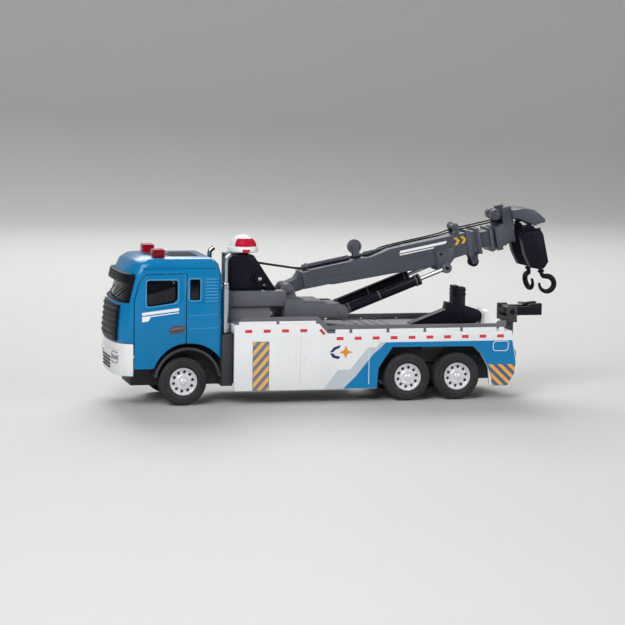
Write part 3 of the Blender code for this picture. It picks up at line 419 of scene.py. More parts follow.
def turned(profile, centre, axis, steps=48, closed=False):
    along = Vector(axis).normalized()
    across = along.orthogonal().normalized()
    points = [Vector(centre) + along * a + across * r for a, r in profile]
    edges = [(k, k + 1) for k in range(len(points) - 1)]
    if closed:
        edges.append((len(points) - 1, 0))
    piece = from_points(points, edges)
    start_editing()
    bpy.ops.mesh.spin(steps=steps, angle=2 * math.pi, center=Vector(centre) * MM, axis=along)
    bpy.ops.mesh.select_all(action="SELECT")
    bpy.ops.mesh.remove_doubles(threshold=0.000002)
    close_editing()
    return piece


def piping(points, radius, closed=False, kind="POLY", rounds=3, shares=None):
    """A round bar along the points; `shares` scales its radius at each of them."""
    curve = bpy.data.curves.new("line", "CURVE")
    curve.dimensions = "3D"
    curve.bevel_depth, curve.bevel_resolution = radius * MM, rounds
    curve.use_fill_caps = True
    spline = curve.splines.new(kind)
    spline.points.add(len(points) - 1)
    for spot, point, share in zip(spline.points, points, shares or [1.0] * len(points)):
        spot.co, spot.radius = (*(Vector(point) * MM), 1), share
    spline.use_cyclic_u = closed
    if kind == "NURBS":
        spline.order_u, spline.use_endpoint_u, spline.resolution_u = 3, True, 6
    piece = bpy.data.objects.new("line", curve)
    bpy.context.scene.collection.objects.link(piece)
    alone(piece)
    bpy.ops.object.convert(target="MESH")
    return bpy.context.object


def printed(outline, side, at, thick=0.09):
    """A flat outline of (x, z) points on the truck's side, raised by an ink's thickness."""
    piece = from_points([(x, side * at, z) for x, z in outline], (), [range(len(outline))])
    start_editing()
    bpy.ops.mesh.extrude_region_move(TRANSFORM_OT_translate={"value": (0, side * thick * MM, 0)})
    close_editing()
    return piece


def softened(corners, cut, bits=4):
    """The same closed outline with each corner rounded off over the length `cut`."""
    outline = []
    for k, corner in enumerate(corners):
        here = Vector(corner)
        start, end = ((here + (Vector(other) - here).normalized() * cut)
                      for other in (corners[k - 1], corners[(k + 1) % len(corners)]))
        for bit in range(bits + 1):
            t = bit / bits
            outline.append(tuple(start * (1 - t) ** 2 + here * 2 * t * (1 - t) + end * t * t))
    return outline


def joined(pieces):
    bpy.ops.object.select_all(action="DESELECT")
    for piece in pieces:
        piece.select_set(True)
    bpy.context.view_layer.objects.active = pieces[0]
    if len(pieces) > 1:
        bpy.ops.object.join()
    return bpy.context.object


def both_sides(make, name, finish, body="truck"):
    """Makes the same detail on the left and the right side, as one piece."""
    made = [piece for _, side in SIDES for piece in make(side)]
    return finished(joined(made), name, finish, body)


# %% [markdown]
# The tyres are soft black rings with a lettering-free sidewall. The profile carries the
# bead, a raised sidewall ring and two tread grooves; after the spin, every third face of
# the two shoulder bands is inset and pushed inwards, which cuts the cross grooves.

# %% Tyres
wheel_x = {"front": -90.0, "middle": 36.2, "rear": 64.8}
wheel_z, groove, grooved_from, groove_turn = 13.0, 0.5, 12.8, 5
tyre_profile = [
    (19.6, 7.8), (19.5, 9.2), (19.7, 10.9), (20.2, 12.2), (21.0, 12.9), (21.4, 13.0),
    (22.8, 13.0), (22.9, 12.4), (23.3, 12.4), (23.4, 13.0), (25.1, 13.0), (25.2, 12.4),
    (25.6, 12.4), (25.7, 13.0), (27.1, 13.0), (27.6, 12.85), (28.3, 12.1), (28.7, 11.4),
    (28.8, 10.9), (28.6, 10.7), (28.6, 10.4), (28.95, 10.1), (29.0, 9.2), (28.8, 8.5),
    (28.5, 8.2), (28.4, 7.8),
]
shoulders = ((21.4, 22.8), (25.7, 27.1))
for place_name, x in wheel_x.items():
    for side_name, side in SIDES:
        tyre = turned(tyre_profile, (x, 0, wheel_z), (0, side, 0), 72, closed=True)
        bpy.ops.object.mode_set(mode="EDIT")
        cage = bmesh.from_edit_mesh(tyre.data)
        for face in cage.faces:
            spot = face.calc_center_median() / MM
            turn = math.degrees(math.atan2(spot.z - wheel_z, spot.x - x)) % 360
            reach = math.hypot(spot.z - wheel_z, spot.x - x)
            in_band = any(a < abs(spot.y) < b for a, b in shoulders)
            face.select = (in_band and reach > grooved_from
                           and int(turn // groove_turn) % 3 == 0)
        bmesh.update_edit_mesh(tyre.data)
        bpy.ops.mesh.inset(thickness=0.00012, depth=-groove * MM, use_individual=True)
        bpy.ops.object.mode_set(mode="OBJECT")
        node = f"{place_name}_tyre_{side_name}"
        finished(tyre, f"{node}_tread", "tyre_rubber", f"{place_name}_wheels", (node,), 30)
print("six tyres")

# %% [markdown]
# The rims are silver dishes: a rolled lip, a flat ring with ten round holes, and a raised
# hub with a circle of nuts. The dish is turned, the holes are cut by one Boolean with a ring
# of pegs, and the nuts are six-sided pegs set on the hub. A near-black disc at the bottom of
# each hole is painted shade, so that the holes read deep.

# %% Rims
rim_profile = [
    (20.6, 0.0), (20.6, 7.2), (27.9, 7.5), (28.6, 7.55), (28.95, 7.3), (28.9, 6.9), (28.3, 6.6),
    (27.6, 6.4), (27.5, 4.1), (27.8, 3.9), (28.3, 3.8), (28.5, 3.5), (28.3, 3.1), (28.3, 1.9),
    (28.7, 1.7), (28.95, 1.3), (29.1, 0.8), (29.1, 0.0),
]
hole_count, hole_radius, hole_ring, nut_ring = 10, 0.88, 5.3, 2.5
for place_name, x in wheel_x.items():
    for side_name, side in SIDES:
        dish = turned(rim_profile, (x, 0, wheel_z), (0, side, 0), 60)

        def around(radius, share, depth):
            turn = 2 * math.pi * share / hole_count
            return (x + radius * math.cos(turn), side * depth, wheel_z + radius * math.sin(turn))

        cutter = joined([
            peg(around(hole_ring, k + 0.3, 25.5), around(hole_ring, k + 0.3, 30.0),
                hole_radius, 16, 0)
            for k in range(hole_count)
        ])
        holes = dish.modifiers.new("holes", "BOOLEAN")
        holes.operation, holes.solver, holes.object = "DIFFERENCE", "EXACT", cutter
        apply_all(dish)
        bpy.data.objects.remove(cutter)
        nuts = [
            peg(around(nut_ring, k + 0.8, 28.4), around(nut_ring, k + 0.8, 28.95), 0.36, 6, 0.06)
            for k in range(hole_count)
        ]
        rim = joined([dish, *nuts])
        # A near-black disc in each hole: painted shade at the hole's bottom.
        shade = joined([
            peg(around(hole_ring, k + 0.3, 25.7), around(hole_ring, k + 0.3, 27.0),
                hole_radius + 0.05, 16, 0)
            for k in range(hole_count)
        ])
        finished(shade, f"{place_name}_hole_shade_{side_name}", "painted_shade_dark",
                 f"{place_name}_wheels")
        node = f"{place_name}_rim_{side_name}"
        finished(rim, f"{node}_dish", "rim_silver", f"{place_name}_wheels", (node,), 30)
print("six rims")

# %% [markdown]
# The cab's front is bowed and leans back, so trim on it has to follow that surface. One
# function gives the front's distance for any width and height; seals, slats, wipers and
# lamps all take their points from it.

# %% The cab's front as a function
front_levels = ((14.0, -126.9), (40.0, -126.9), (55.0, -125.5), (71.0, -121.7), (77.0, -119.0))
bow_depth, bow_power, cab_half = 11.0, 2.8, 29.0


def cab_front(y, z, proud=0.0):
    for (z0, x0), (z1, x1) in zip(front_levels, front_levels[1:]):
        if z <= z1:
            nose = x0 + (x1 - x0) * (z - z0) / (z1 - z0)
            break
    share = min(1.0, abs(y) / cab_half) ** bow_power
    return (nose - proud + bow_depth * (1 - (1 - share) ** (1 / bow_power)), y, z)


def across_front(z, half, proud, count=17):
    spread = [half * (2 * k / (count - 1) - 1) for k in range(count)]
    return [cab_front(y, z, proud) for y in spread]


windscreen_low, windscreen_high, screen_half = 56.5, 70.0, 27.2
seal = across_front(windscreen_low, screen_half, 0.1, 25)
seal += across_front(windscreen_high, screen_half, 0.1, 25)[::-1]
finished(piping(seal, 0.55, closed=True), "windscreen_seal", "gear_black")
slats = [piping(across_front(z, 20.0, 1.3), 0.5) for z in (37.5, 40.5, 43.5, 46.5, 49.5, 52.5)]
finished(joined(slats), "grille_slats", "chassis_black")
wipers = []
for y0, y1 in ((-3.0, -18.0), (14.0, 1.0)):
    rise = [cab_front(y0 + (y1 - y0) * k / 6, 57.6 + 5.5 * k / 6, -0.5) for k in range(7)]
    wipers.append(piping(rise, 0.32))
finished(joined(wipers), "wipers", "gear_black")
print("front trim ready")

# %% [markdown]
# The bumper carries the lamps: three bright bowls in a bright oval rim on each side, a dark
# air intake between them, and a small step below. Real lamps are never flush, so each bowl
# stands a little proud of the bumper with a rounded rim.


# %% Bumper lamps
def bumper_front(y, z, proud=0.0):
    x, y, z = cab_front(y, z, proud)
    return (x - 0.5, y, z)


lamp_rows, lamp_y, lamp_z, rim_bits = [], 18.5, 26.0, 24
bulb_profile = [(-0.4, 0.0), (-0.4, 1.25), (0.3, 1.25), (0.45, 1.0), (0.2, 0.6), (0.1, 0.0)]
for _, side in SIDES:
    ring = []
    for k in range(rim_bits):
        turn = 2 * math.pi * k / rim_bits
        bulge = math.copysign(abs(math.cos(turn)) ** 0.5, math.cos(turn))
        rise = math.copysign(abs(math.sin(turn)) ** 0.6, math.sin(turn))
        ring.append(bumper_front(side * (lamp_y + 4.6 * bulge), lamp_z + 3.0 * rise, 0.05))
    lamp_rows.append(piping(ring, 0.4, closed=True))
    for y in (15.9, 18.6, 21.2):
        bowl = bumper_front(side * y, lamp_z, 0.0)
        lamp_rows.append(turned(bulb_profile, bowl, (-1, side * 0.2, 0), 20))
finished(joined(lamp_rows), "head_lamps", "bright_plastic")
intake = [piping(across_front(z, 10.5, 0.75), 0.42) for z in (19.6, 21.4, 23.2, 25.0)]
finished(joined(intake), "bumper_intake", "gear_black")
sill = piping(across_front(30.6, 25.0, 0.6, 25), 0.3)
finished(sill, "bumper_bead", "body_white")
print("bumper dressed")

# %% [markdown]
# Doors: the window sits in a thin raised lip, the handle is a bar in an oval dish, and a
# white flash is printed below the window. The lip is a lighter blue than the cab, a painted
# highlight along its edge. The flash is plain bars, with no lettering. All of it rides on its
# own door, so it swings out with it.

# %% Door trim
DOOR = 29.0
window = [(-110.9, 54.0), (-109.0, 53.7), (-93.2, 55.9), (-93.2, 68.6), (-110.9, 68.6)]
flash_bars = (
    [(-113.0, 49.3), (-92.8, 51.7), (-92.8, 53.3), (-113.0, 50.9)],
    [(-113.0, 45.8), (-109.6, 46.3), (-108.2, 48.6), (-92.8, 50.5), (-92.8, 51.0), (-113.0, 48.7)],
)
for side_name, side in SIDES:
    body = f"door_{side_name}"
    lip = piping([(x, side * DOOR, z) for x, z in softened(window, 1.7)], 0.42, closed=True)
    # The lip is lighter blue than the cab: a painted highlight on the window's edge.
    finished(lip, f"window_lip_{side_name}", "painted_highlight_blue", body)
    bars = [printed(bar, side, DOOR) for bar in flash_bars]
    finished(joined(bars), f"door_flash_{side_name}", "print_white", body)
    oval = softened([(-98.3, 39.0), (-90.2, 39.9), (-89.3, 44.1), (-97.4, 43.3)], 1.9, 6)
    dish = joined([printed(oval, side, DOOR, 0.12),
                   piping([(x, side * 29.1, z) for x, z in oval], 0.22, True)])
    finished(dish, f"handle_dish_{side_name}", "frame_grey", body)
    grip = piping([(-97.0, side * 29.2, 41.1), (-95.8, side * 29.55, 41.6),
                   (-92.0, side * 29.6, 42.2), (-90.7, side * 29.2, 42.2)], 0.7)
    finished(grip, f"door_handle_{side_name}", "deck_grey", body)
print("door trim ready")

# %% [markdown]
# Behind the door come the quarter window's lip, eight pressed louvres and two long swage
# lines; on the roof, a dark hatch with a raised rim. The lip, the louvres and the swage lines
# are beads in a lighter blue than the cab, a painted highlight along their edges. The beacons
# get ribbed lenses.


# %% Cab side and roof
def quarter_lip(side):
    corners = softened([(-87.4, 56.9), (-80.8, 56.9), (-80.8, 69.1), (-87.4, 69.1)], 1.5)
    return [piping([(x, side * DOOR, z) for x, z in corners], 0.5, closed=True)]


def louvres(side):
    pitch = 1.72
    rows = [piping([(-78.4, side * 28.95, 56.6 + pitch * k),
                    (-71.6, side * 28.95, 56.8 + pitch * k)], 0.42) for k in range(8)]
    swages = [piping([(-87.4, side * 28.9, z), (-71.0, side * 28.9, z + 0.5)], 0.22)
              for z in (49.0, 41.8)]
    return rows + swages


def beacon_lens(side):
    y = side * 16
    ribs = [block((-105.75, y - 3.6, z), (-98.85, y + 3.6, z + 0.5), 0.15)
            for z in (80.4, 81.6, 82.8)]
    cap = block((-105.2, y - 3.2, 80.2), (-99.4, y + 3.2, 84.5), 0.9, 4)
    bulb = peg((-102.3, y, 80.0), (-102.3, y, 84.7), 1.5, 24, 0.4)
    return [*ribs, cap, bulb]


# Quarter window lip, louvres and swages in the lighter blue: painted highlight on their edges.
both_sides(quarter_lip, "quarter_window_lips", "painted_highlight_blue")
both_sides(louvres, "louvres_and_swages", "painted_highlight_blue")
both_sides(beacon_lens, "beacon_lenses", "lamp_red")
moulded("roof_beacons", 0.5)
hatch = [block((-94.8, -8, 79.4), (-78.6, 8, 80.0), 0.25),
         block((-93.6, -6.8, 79.9), (-79.8, 6.8, 80.4), 0.3)]
hatch += [block((-93.0, y - 0.35, 80.3), (-80.4, y + 0.35, 80.7), 0.12)
          for y in (-4.5, -1.5, 1.5, 4.5)]
finished(joined(hatch), "roof_hatch", "chassis_black")
gutter = [piping([(-112.5, side * 28.75, 74.9), (-72.0, side * 28.75, 74.9)], 0.3)
          for _, side in SIDES]
finished(joined(gutter), "roof_gutters", "cab_blue")
print("cab dressed")

# %% [markdown]
# The exhaust stacks are one plated moulding. Each is a fat silencer with two bands and a
# row of shallow slots, then a thinner pipe that bends rearwards and ends in an open mouth.
# The slots and the inside of the mouth are dark bars and a dark disc, painted shade.
# The bend is a smooth curve with a round bevel, not a chain of straight tubes.

# %% Exhaust stacks
stack_x, stack_y, stacks, mouths = -65.9, 22.0, [], []
for _, side in SIDES:
    y = side * stack_y
    stacks.append(turned(
        [(38.3, 0), (38.3, 2.0), (38.7, 2.15), (39.6, 2.15), (39.8, 1.95), (40.6, 1.95),
         (40.8, 2.15), (62.6, 2.15), (62.8, 1.95), (63.4, 1.95), (63.6, 2.25), (64.4, 2.25),
         (64.6, 1.9), (65.2, 1.9), (65.4, 2.2), (66.0, 2.1), (66.6, 1.5), (66.6, 0)],
        (stack_x, y, 0), (0, 0, 1), 32,
    ))
    bend = [(stack_x, y, 66.0), (stack_x, y, 73.0), (stack_x, y, 77.4), (stack_x + 0.3, y, 79.6),
            (stack_x + 1.5, y, 80.7), (stack_x + 2.3, y, 81.2)]
    stacks.append(piping(bend, 1.4, kind="NURBS", rounds=6))
    stacks.append(turned([(0, 1.0), (0.25, 1.5), (0.6, 1.5), (0.75, 1.0)],
                         (stack_x + 2.0, y, 81.0), (0.85, 0, 0.53), 24, closed=True))
    # A dark disc in the pipe's end and dark bars on the silencer: painted shade for the mouth and
    # the slots.
    mouths.append(peg((stack_x + 2.3, y, 81.2), (stack_x + 2.52, y, 81.33), 1.02, 24, 0))
    mouths += [block((stack_x - 2.25, y - 0.35, z), (stack_x + 2.25, y + 0.35, z + 1.6), 0.1)
               for z in (46, 49, 52, 55, 58)]
stacks.append(peg((stack_x, -stack_y, 41.0), (stack_x, stack_y, 41.0), 1.1, 20, 0))
finished(joined(stacks), "exhaust_pipes", "bright_plastic", "truck", ("exhaust_stacks",))
# The mouths and slots are near-black painted shade.
finished(joined(mouths), "exhaust_mouths", "painted_shade_dark")
print("stacks ready")

# %% [markdown]
# The recovery body is white with pad-printed areas: a grey chevron edge, then blue round the
# wheel arches, and two panels of warning stripes. Each outline is drawn once in side view and
# printed on both sides. The blue runs right up to the arches' edge. A print that lies over
# another is a few hundredths of a millimetre thicker, so that the two never flicker.


# %% Printed areas on the body
BODY = 29.99
body_prints = (
    ("grey_chevron", "print_pale", 0.05, (
        (-12.0, 7.6), (-7.5, 13.5), (-4.0, 18.1), (2.9, 18.2), (13.0, 30.2), (17.6, 30.2),
        (19.9, 32.9), (23.0, 32.9), (19.9, 29.8), (15.8, 26.4), (5.9, 14.2), (-1.0, 7.6))),
    ("blue_flank", "print_blue", 0.06, (
        (-1.0, 7.6), (5.9, 14.2), (15.8, 26.4), (19.9, 29.8), (23.0, 32.9), (96.1, 32.9),
        (98.3, 20.6), (97.5, 14.2), (93.6, 7.6), (84.25, 7.6), (84.25, 11.4), (82.25, 18.0),
        (77.75, 25.85), (73.55, 29.95), (26.95, 30.25), (21.95, 23.35), (18.95, 18.45),
        (18.35, 11.4), (18.35, 7.6))),
    ("hazard_edge", "frame_grey", 0.08, (
        (-52.1, 7.5), (-42.9, 7.5), (-42.9, 34.4), (-52.1, 34.4))),
    ("front_hazard", "hazard", 0.12, (
        (-51.85, 7.7), (-43.15, 7.7), (-43.15, 34.2), (-51.85, 34.2))),
    ("rear_hazard", "hazard_rear", 0.12, (
        (82.4, 19.5), (84.3, 11.6), (84.3, 7.8), (93.6, 7.8), (97.4, 14.2), (98.2, 19.5))),
)
for name, finish, thick, outline in body_prints:
    sides = [printed(outline, side, BODY, thick) for _, side in SIDES]
    finished(joined(sides), name, finish)
print("body printed")


# %% [markdown]
# Red conspicuity marks run along the top edge at an even pitch, follow the step down, and
# carry on to the tail. Locker doors are only faint lines in the moulding, so they are very
# thin beads in the body's own white. The lamp outline at the tail is a printed ring.


# %% Marks, lockers and tail lamp outline
def red_marks(side):
    spots = [(-54.5 + 10.25 * k, 40.1) for k in range(4)]
    spots += [(-3.2 + 10.25 * k, 35.4) for k in range(10)]
    marks = []
    for x, z in spots:
        for shift in (-1.25, 0.05, 1.35):
            outline = [(x + shift - 0.62, z - 0.85), (x + shift + 0.62, z - 0.85),
                       (x + shift + 0.62, z + 0.85), (x + shift - 0.62, z + 0.85)]
            marks.append(printed(outline, side, BODY, 0.1))
    step_mark = [(-15.0, 40.1), (-13.8, 41.0), (-11.4, 38.4), (-12.5, 37.4)]
    marks.append(printed(step_mark, side, BODY, 0.1))
    return marks


def lockers(side):
    frames = [((-38.6, 11.0), (-25.3, 37.0)), ((-25.3, 11.0), (-11.4, 36.2)),
              ((-36.9, 12.6), (-27.0, 35.4)), ((-23.6, 12.6), (-13.1, 34.6))]
    lines = [piping([(a, side * 29.93, b), (c, side * 29.93, b), (c, side * 29.93, d),
                     (a, side * 29.93, d)], 0.14, closed=True) for (a, b), (c, d) in frames]
    lines.append(piping([(13.5, side * 30.0, 9.8), (13.5, side * 30.0, 30.2)], 0.2))
    return lines


def tail_ring(side):
    ring = [(86.0, 27.1), (92.6, 27.1), (93.7, 28.1), (93.9, 31.4), (93.2, 32.4), (86.2, 32.4),
            (85.1, 31.4), (85.0, 28.1)]
    return [piping([(x, side * 30.0, z) for x, z in ring], 0.22, closed=True)]


both_sides(red_marks, "red_marks", "print_red")
both_sides(lockers, "locker_lines", "body_white")
both_sides(tail_ring, "tail_ring", "print_white")
latches = [piping([(x, side * 30.05, 23.0), (x, side * 30.05, 25.6)], 0.3)
           for _, side in SIDES for x in (-27.9, -22.7)]
finished(joined(latches), "locker_latches", "body_white")
print("marks ready")


# %% [markdown]
# A plain service badge sits ahead of the chevron: two dark blue wedges and an orange spark
# beside them. They are simple shapes, with no figure and no letter.


# %% Service badge
def badge_wedges(side):
    upper = [(-8.8, 27.9), (-6.6, 30.6), (-2.6, 31.8), (-3.4, 30.2), (-5.8, 29.2), (-7.0, 27.9)]
    lower = [(-8.8, 27.3), (-7.0, 27.3), (-5.6, 26.0), (-2.8, 25.4), (-4.0, 24.0), (-7.2, 24.9)]
    return [printed(outline, side, BODY, 0.1) for outline in (upper, lower)]


def badge_spark(side):
    spark = [(0.2, 24.4), (1.4, 26.9), (4.3, 27.8), (1.4, 28.7),
             (0.2, 31.4), (-1.0, 28.7), (-3.6, 27.8), (-1.0, 26.9)]
    return [printed(spark, side, BODY, 0.1)]


both_sides(badge_wedges, "badge_wedges", "print_navy")
both_sides(badge_spark, "badge_spark", "print_orange")
print("badge ready")

# %% [markdown]
# Everything on the boom is easier to place in the boom's own directions: u runs out along
# it from the hinge, v stands square to it. `on_boom` turns a piece made in (u, y, v) into
# the truck's frame, and `at_boom` does the same for a single point.

# %% The boom's own directions
hinge, tilt = Vector((-27.5, 0.0, 60.5)), math.radians(11.3)
BOOM = Matrix.Translation(hinge * MM) @ Matrix.Rotation(-tilt, 4, "Y")


def on_boom(piece):
    piece.matrix_world = BOOM @ piece.matrix_world
    return settle(piece)


def at_boom(u, v, y=0.0):
    return BOOM @ (Vector((u, y, v)) * MM) / MM


def on_side(outline):
    return [at_boom(u, v).xz for u, v in outline]


print("boom tip", tuple(round(c, 1) for c in at_boom(155.0, 8.0)))

# %% [markdown]
# Boom decals: two amber arrowheads and two plain white bars, printed on both cheeks. A fine
# crease runs along each cheek, and two clips hold the tube on top. Thin loops round the
# collars are raised beads in a lighter grey, a painted highlight on the collar edges.


# %% Boom decals and clips
CHEEK = 8.0


def arrowheads(side):
    return [printed(on_side([(u, 4.5), (u + 1.8, 4.5), (u + 3.5, 6.6), (u + 1.8, 8.7), (u, 8.7),
                             (u + 1.7, 6.6)]),
                    side, CHEEK, 0.12) for u in (98.4, 102.3)]


def white_bars(side):
    bars = ([(66.0, 6.5), (93.4, 6.5), (94.4, 7.9), (67.0, 7.9)],
            [(66.0, 5.3), (86.0, 5.3), (86.5, 5.9), (66.4, 5.9)])
    return [printed(on_side(bar), side, CHEEK, 0.12) for bar in bars]


def creases(side):
    lines = [piping([(15.5, side * 7.95, 2.2), (86.0, side * 7.95, 3.0)], 0.22),
             piping([(97.5, side * 7.95, 3.0), (105.8, side * 7.95, 3.1)], 0.22)]
    return [on_boom(line) for line in lines]


both_sides(arrowheads, "boom_arrowheads", "print_amber", "boom")
both_sides(white_bars, "boom_bars", "print_white", "boom")
both_sides(creases, "boom_creases", "boom_slate", "boom")
clips = []
for u in (13.9, 63.6):
    ring = [(u - 0.8, 1.6), (u - 0.8, 2.15), (u + 0.8, 2.15), (u + 0.8, 1.6)]
    clips.append(turned(ring, (0, 0, 9.0), (1, 0, 0), 28, closed=True))
    clips += [block((u - 0.8, s * 2.0, 7.4), (u + 0.8, s * 3.0, 8.6 + (1.6 if u > 60 else 0)), 0.2)
              for s in (-1, 1)]
# The three loops round the collars are raised beads in a lighter grey than the boom: painted
# highlight on the collar edges.
for u, half, low, high in ((106.3, 9.25, -3.25, 11.35), (113.3, 9.25, -3.25, 11.35),
                           (120.0, 8.5, -3.5, 9.8)):
    corners = [(u, -half, low), (u, half, low), (u, half, high), (u, -half, high)]
    clips.append(piping(corners, 0.28, closed=True))
on_boom(joined(clips[:-1]))
finished(bpy.context.object, "boom_clips_and_highlight_loops", "deck_grey", "boom")
finished(on_boom(clips[-1]), "inner_collar_highlight_loop", "deck_grey", "inner_boom")
print("boom dressed")

# %% [markdown]
# The pulley that stands on the ridge is two cheeks with a groove between them, and a hub.
# The guide rollers further out are one spool of their own profile, flanged at each end.


# %% Pulley and rollers
def pulley(radius, half, hub):
    return [(-half, 0.0), (-half, hub), (-half * 0.6, hub), (-half * 0.6, radius * 0.72),
            (-half, radius * 0.8), (-half, radius * 0.96), (-half * 0.8, radius),
            (-half * 0.45, radius), (0, radius * 0.82), (half * 0.45, radius),
            (half * 0.8, radius), (half, radius * 0.96), (half, radius * 0.8),
            (half * 0.6, radius * 0.72), (half * 0.6, hub), (half, hub), (half, 0.0)]


ring = on_boom(turned(pulley(4.0, 1.0, 1.4), (43.2, 0, 14.6), (0, 1, 0), 48))
finished(ring, "ridge_pulley", "frame_grey", "ring_pulley", ("ring_pulley",))
guide = [(-5.1, 0.0), (-5.1, 2.1), (-4.6, 2.2), (-4.5, 1.25),
         (4.5, 1.25), (4.6, 2.2), (5.1, 2.1), (5.1, 0.0)]
finished(on_boom(turned(guide, (101.5, 0, 14.1), (0, 1, 0), 32)), "rope_rollers", "deck_grey",
         "boom")
ribs = [block((127.3, -8.2, -1.8), (128.6, 8.2, 10.4)),
        block((132.9, -8.2, -0.6), (134.2, 8.2, 13.4)),
        block((123.3, -8.2, -3.75), (124.3, 8.2, 9.85))]
for _, side in SIDES:
    ribs.append(block((129.8, side * 7.8, 8.6), (130.8, side * 8.2, 18.4)))
    ribs.append(peg((126.1, side * 7.8, 16.3), (126.1, side * 8.2, 16.3), 1.1))
finished(on_boom(joined(ribs)), "boom_head_ribs", "boom_slate", "boom_head")
print("pulleys turned")

# %% [markdown]
# The ram eyes are dark rings with a bolt through them, and the rods are plated. Ring and bolt
# both ride on the rod; the small screw on the lug above them stays with the boom.

# %% Ram eyes
ram_out, eye_u, eye_v, foot_x, foot_z = 12.6, 90.2, -6.4, 0.5, 48.0
for side_name, side in SIDES:
    eye = [(11.0, 1.3), (11.0, 2.5), (11.4, 2.85), (13.8, 2.85), (14.2, 2.5), (14.2, 1.3)]
    ring = on_boom(turned([(a - ram_out, r) for a, r in eye], (eye_u, side * ram_out, eye_v),
                          (0, side, 0), 36, closed=True))
    finished(ring, f"ram_eye_{side_name}", "frame_grey", f"ram_rod_{side_name}")
    bolt = on_boom(peg((eye_u, side * 13.6, eye_v), (eye_u, side * 14.5, eye_v), 1.25, 6, 0.1))
    finished(bolt, f"eye_bolt_{side_name}", "gear_black", f"ram_rod_{side_name}")
    screw = on_boom(peg((89.0, side * 10.2, 1.6), (89.0, side * 10.9, 1.6), 0.7, 12, 0.1))
    finished(screw, f"lug_screw_{side_name}", "gear_black", "boom")
    bands = []
    lean = math.atan2(at_boom(eye_u, eye_v).z - foot_z, at_boom(eye_u, eye_v).x - foot_x)
    line = Vector((math.cos(lean), 0, math.sin(lean)))
    for reach, radius in ((46.6, 3.3), (48.9, 3.3), (5.5, 2.95), (24.0, 2.9)):
        band = [(reach, 2.6), (reach, radius), (reach + 0.7, radius), (reach + 0.7, 2.6)]
        bands.append(turned(band, (foot_x, side * ram_out, foot_z), line, 32, closed=True))
    finished(joined(bands), f"barrel_bands_{side_name}", "frame_grey", f"ram_barrel_{side_name}")
print("rams finished")

# %% [markdown]
# A hook is a bent, tapering bar: thick at the back of the bowl, thin at the tip. A curve
# whose points each have their own radius gives exactly that. A small sheave sits on each
# block, where the rope comes down to it. The second hook is turned on its swivel, as they
# never hang alike.


# %% Hooks
swivel, line_out = (142.5 + 2.4, 8.5 - 27.0), 11
bowl_radius, bowl_bits, thick, taper = 4.3, 27, 1.55, 0.075
for side_name, side in SIDES:
    away = side * line_out
    bar, radii = [(0, 3.4), (0, -2.2), (0.3, -3.4), (0.9, -4.3)], [1.1, 1.1, 1.25, 1.4]
    for k in range(bowl_bits):
        turn = math.radians(76 - 10.6 * k)
        bar.append((2.1 + bowl_radius * math.cos(turn), -9.1 + bowl_radius * math.sin(turn)))
        radii.append(thick if k < 15 else thick - taper * (k - 14))
    turn = 0.0 if side < 0 else math.radians(100)
    points = [(swivel[0] + a * math.cos(turn), away + a * math.sin(turn), swivel[1] + c)
              for a, c in bar]
    hook = piping(points, 1.0, rounds=4, shares=radii)
    collar = turned([(-1.9, 0.0), (-1.9, 1.6), (-1.6, 1.9), (-0.9, 1.9), (-0.6, 1.6), (-0.6, 0.0)],
                    (swivel[0], away, swivel[1]), (0, 0, 1), 24)
    node = f"hook_{side_name}"
    finished(on_boom(joined([hook, collar])), f"forged_{node}", "gear_black", node, (node,))
    plate = [block((142.0, away - 2.68, -13.0), (147.6, away + 2.68, -2.0), 0.8, 3)]
    plate += [peg((143.6, away - 2.7, v), (143.6, away + 2.7, v), 1.0, 20)
              for v in (1.2, -11.0)]
    plate.append(turned(pulley(2.4, 1.2, 0.6), (142.9, away, 4.7), (0, 1, 0), 32))
    finished(on_boom(joined(plate)), f"block_plate_{side_name}", "gear_black",
             f"hook_block_{side_name}")
print("hooks forged")

# %% [markdown]
# Each rope runs from its drum over the ridge to the hook. It crosses three joints on the
# way, so it is made in lengths. A length between two bodies, at the boom's hinge and over the
# telescope, is given no body and has its place baked into its mesh; the lengths in between
# simply ride.

# %% Rope lengths
rope_radius = 0.4
rope_tail = ((143.0, 4.0), (145.8, 4.4), (148.2, 4.1))
from_drum = [(-48.2, 67.6, 4.3), (-47.6, 72.0, 4.3), (-45.4, 74.5, 4.3), (-42.8, 74.6, 4.2),
             (-36.0, 73.6, 3.9), (-28.0, 72.4, 3.6)]
over_boom = [(10.4, 8.9, 3.2), (14.6, 9.1, 3.1), (22.0, 9.1, 3.1), (50.0, 9.2, 3.1),
             (62.0, 10.9, 3.1), (90.0, 11.3, 3.4), (101.5, 12.3, 4.0), (112.0, 12.4, 4.2),
             (126.0, 12.6, 4.3), (134.0, 13.1, 4.5), (138.4, 13.3, 7.2), (141.4, 12.6, 10.2),
             (142.5, 10.4, 11.0), (142.5, 8.5, 11.0), (142.5, 6.8, 11.0), (142.5, 3.4, 11.0)]


def smooth_route(points, steps=10):
    ends = [points[0], *points, points[-1]]
    fine = []
    for a, b, c, d in zip(ends, ends[1:], ends[2:], ends[3:]):
        for k in range(steps):
            t = k / steps
            fine.append(0.5 * (2 * b + (c - a) * t + (2 * a - 5 * b + 4 * c - d) * t**2
                               + (3 * b - a - 3 * c + d) * t**3))
    return [*fine, points[-1]]


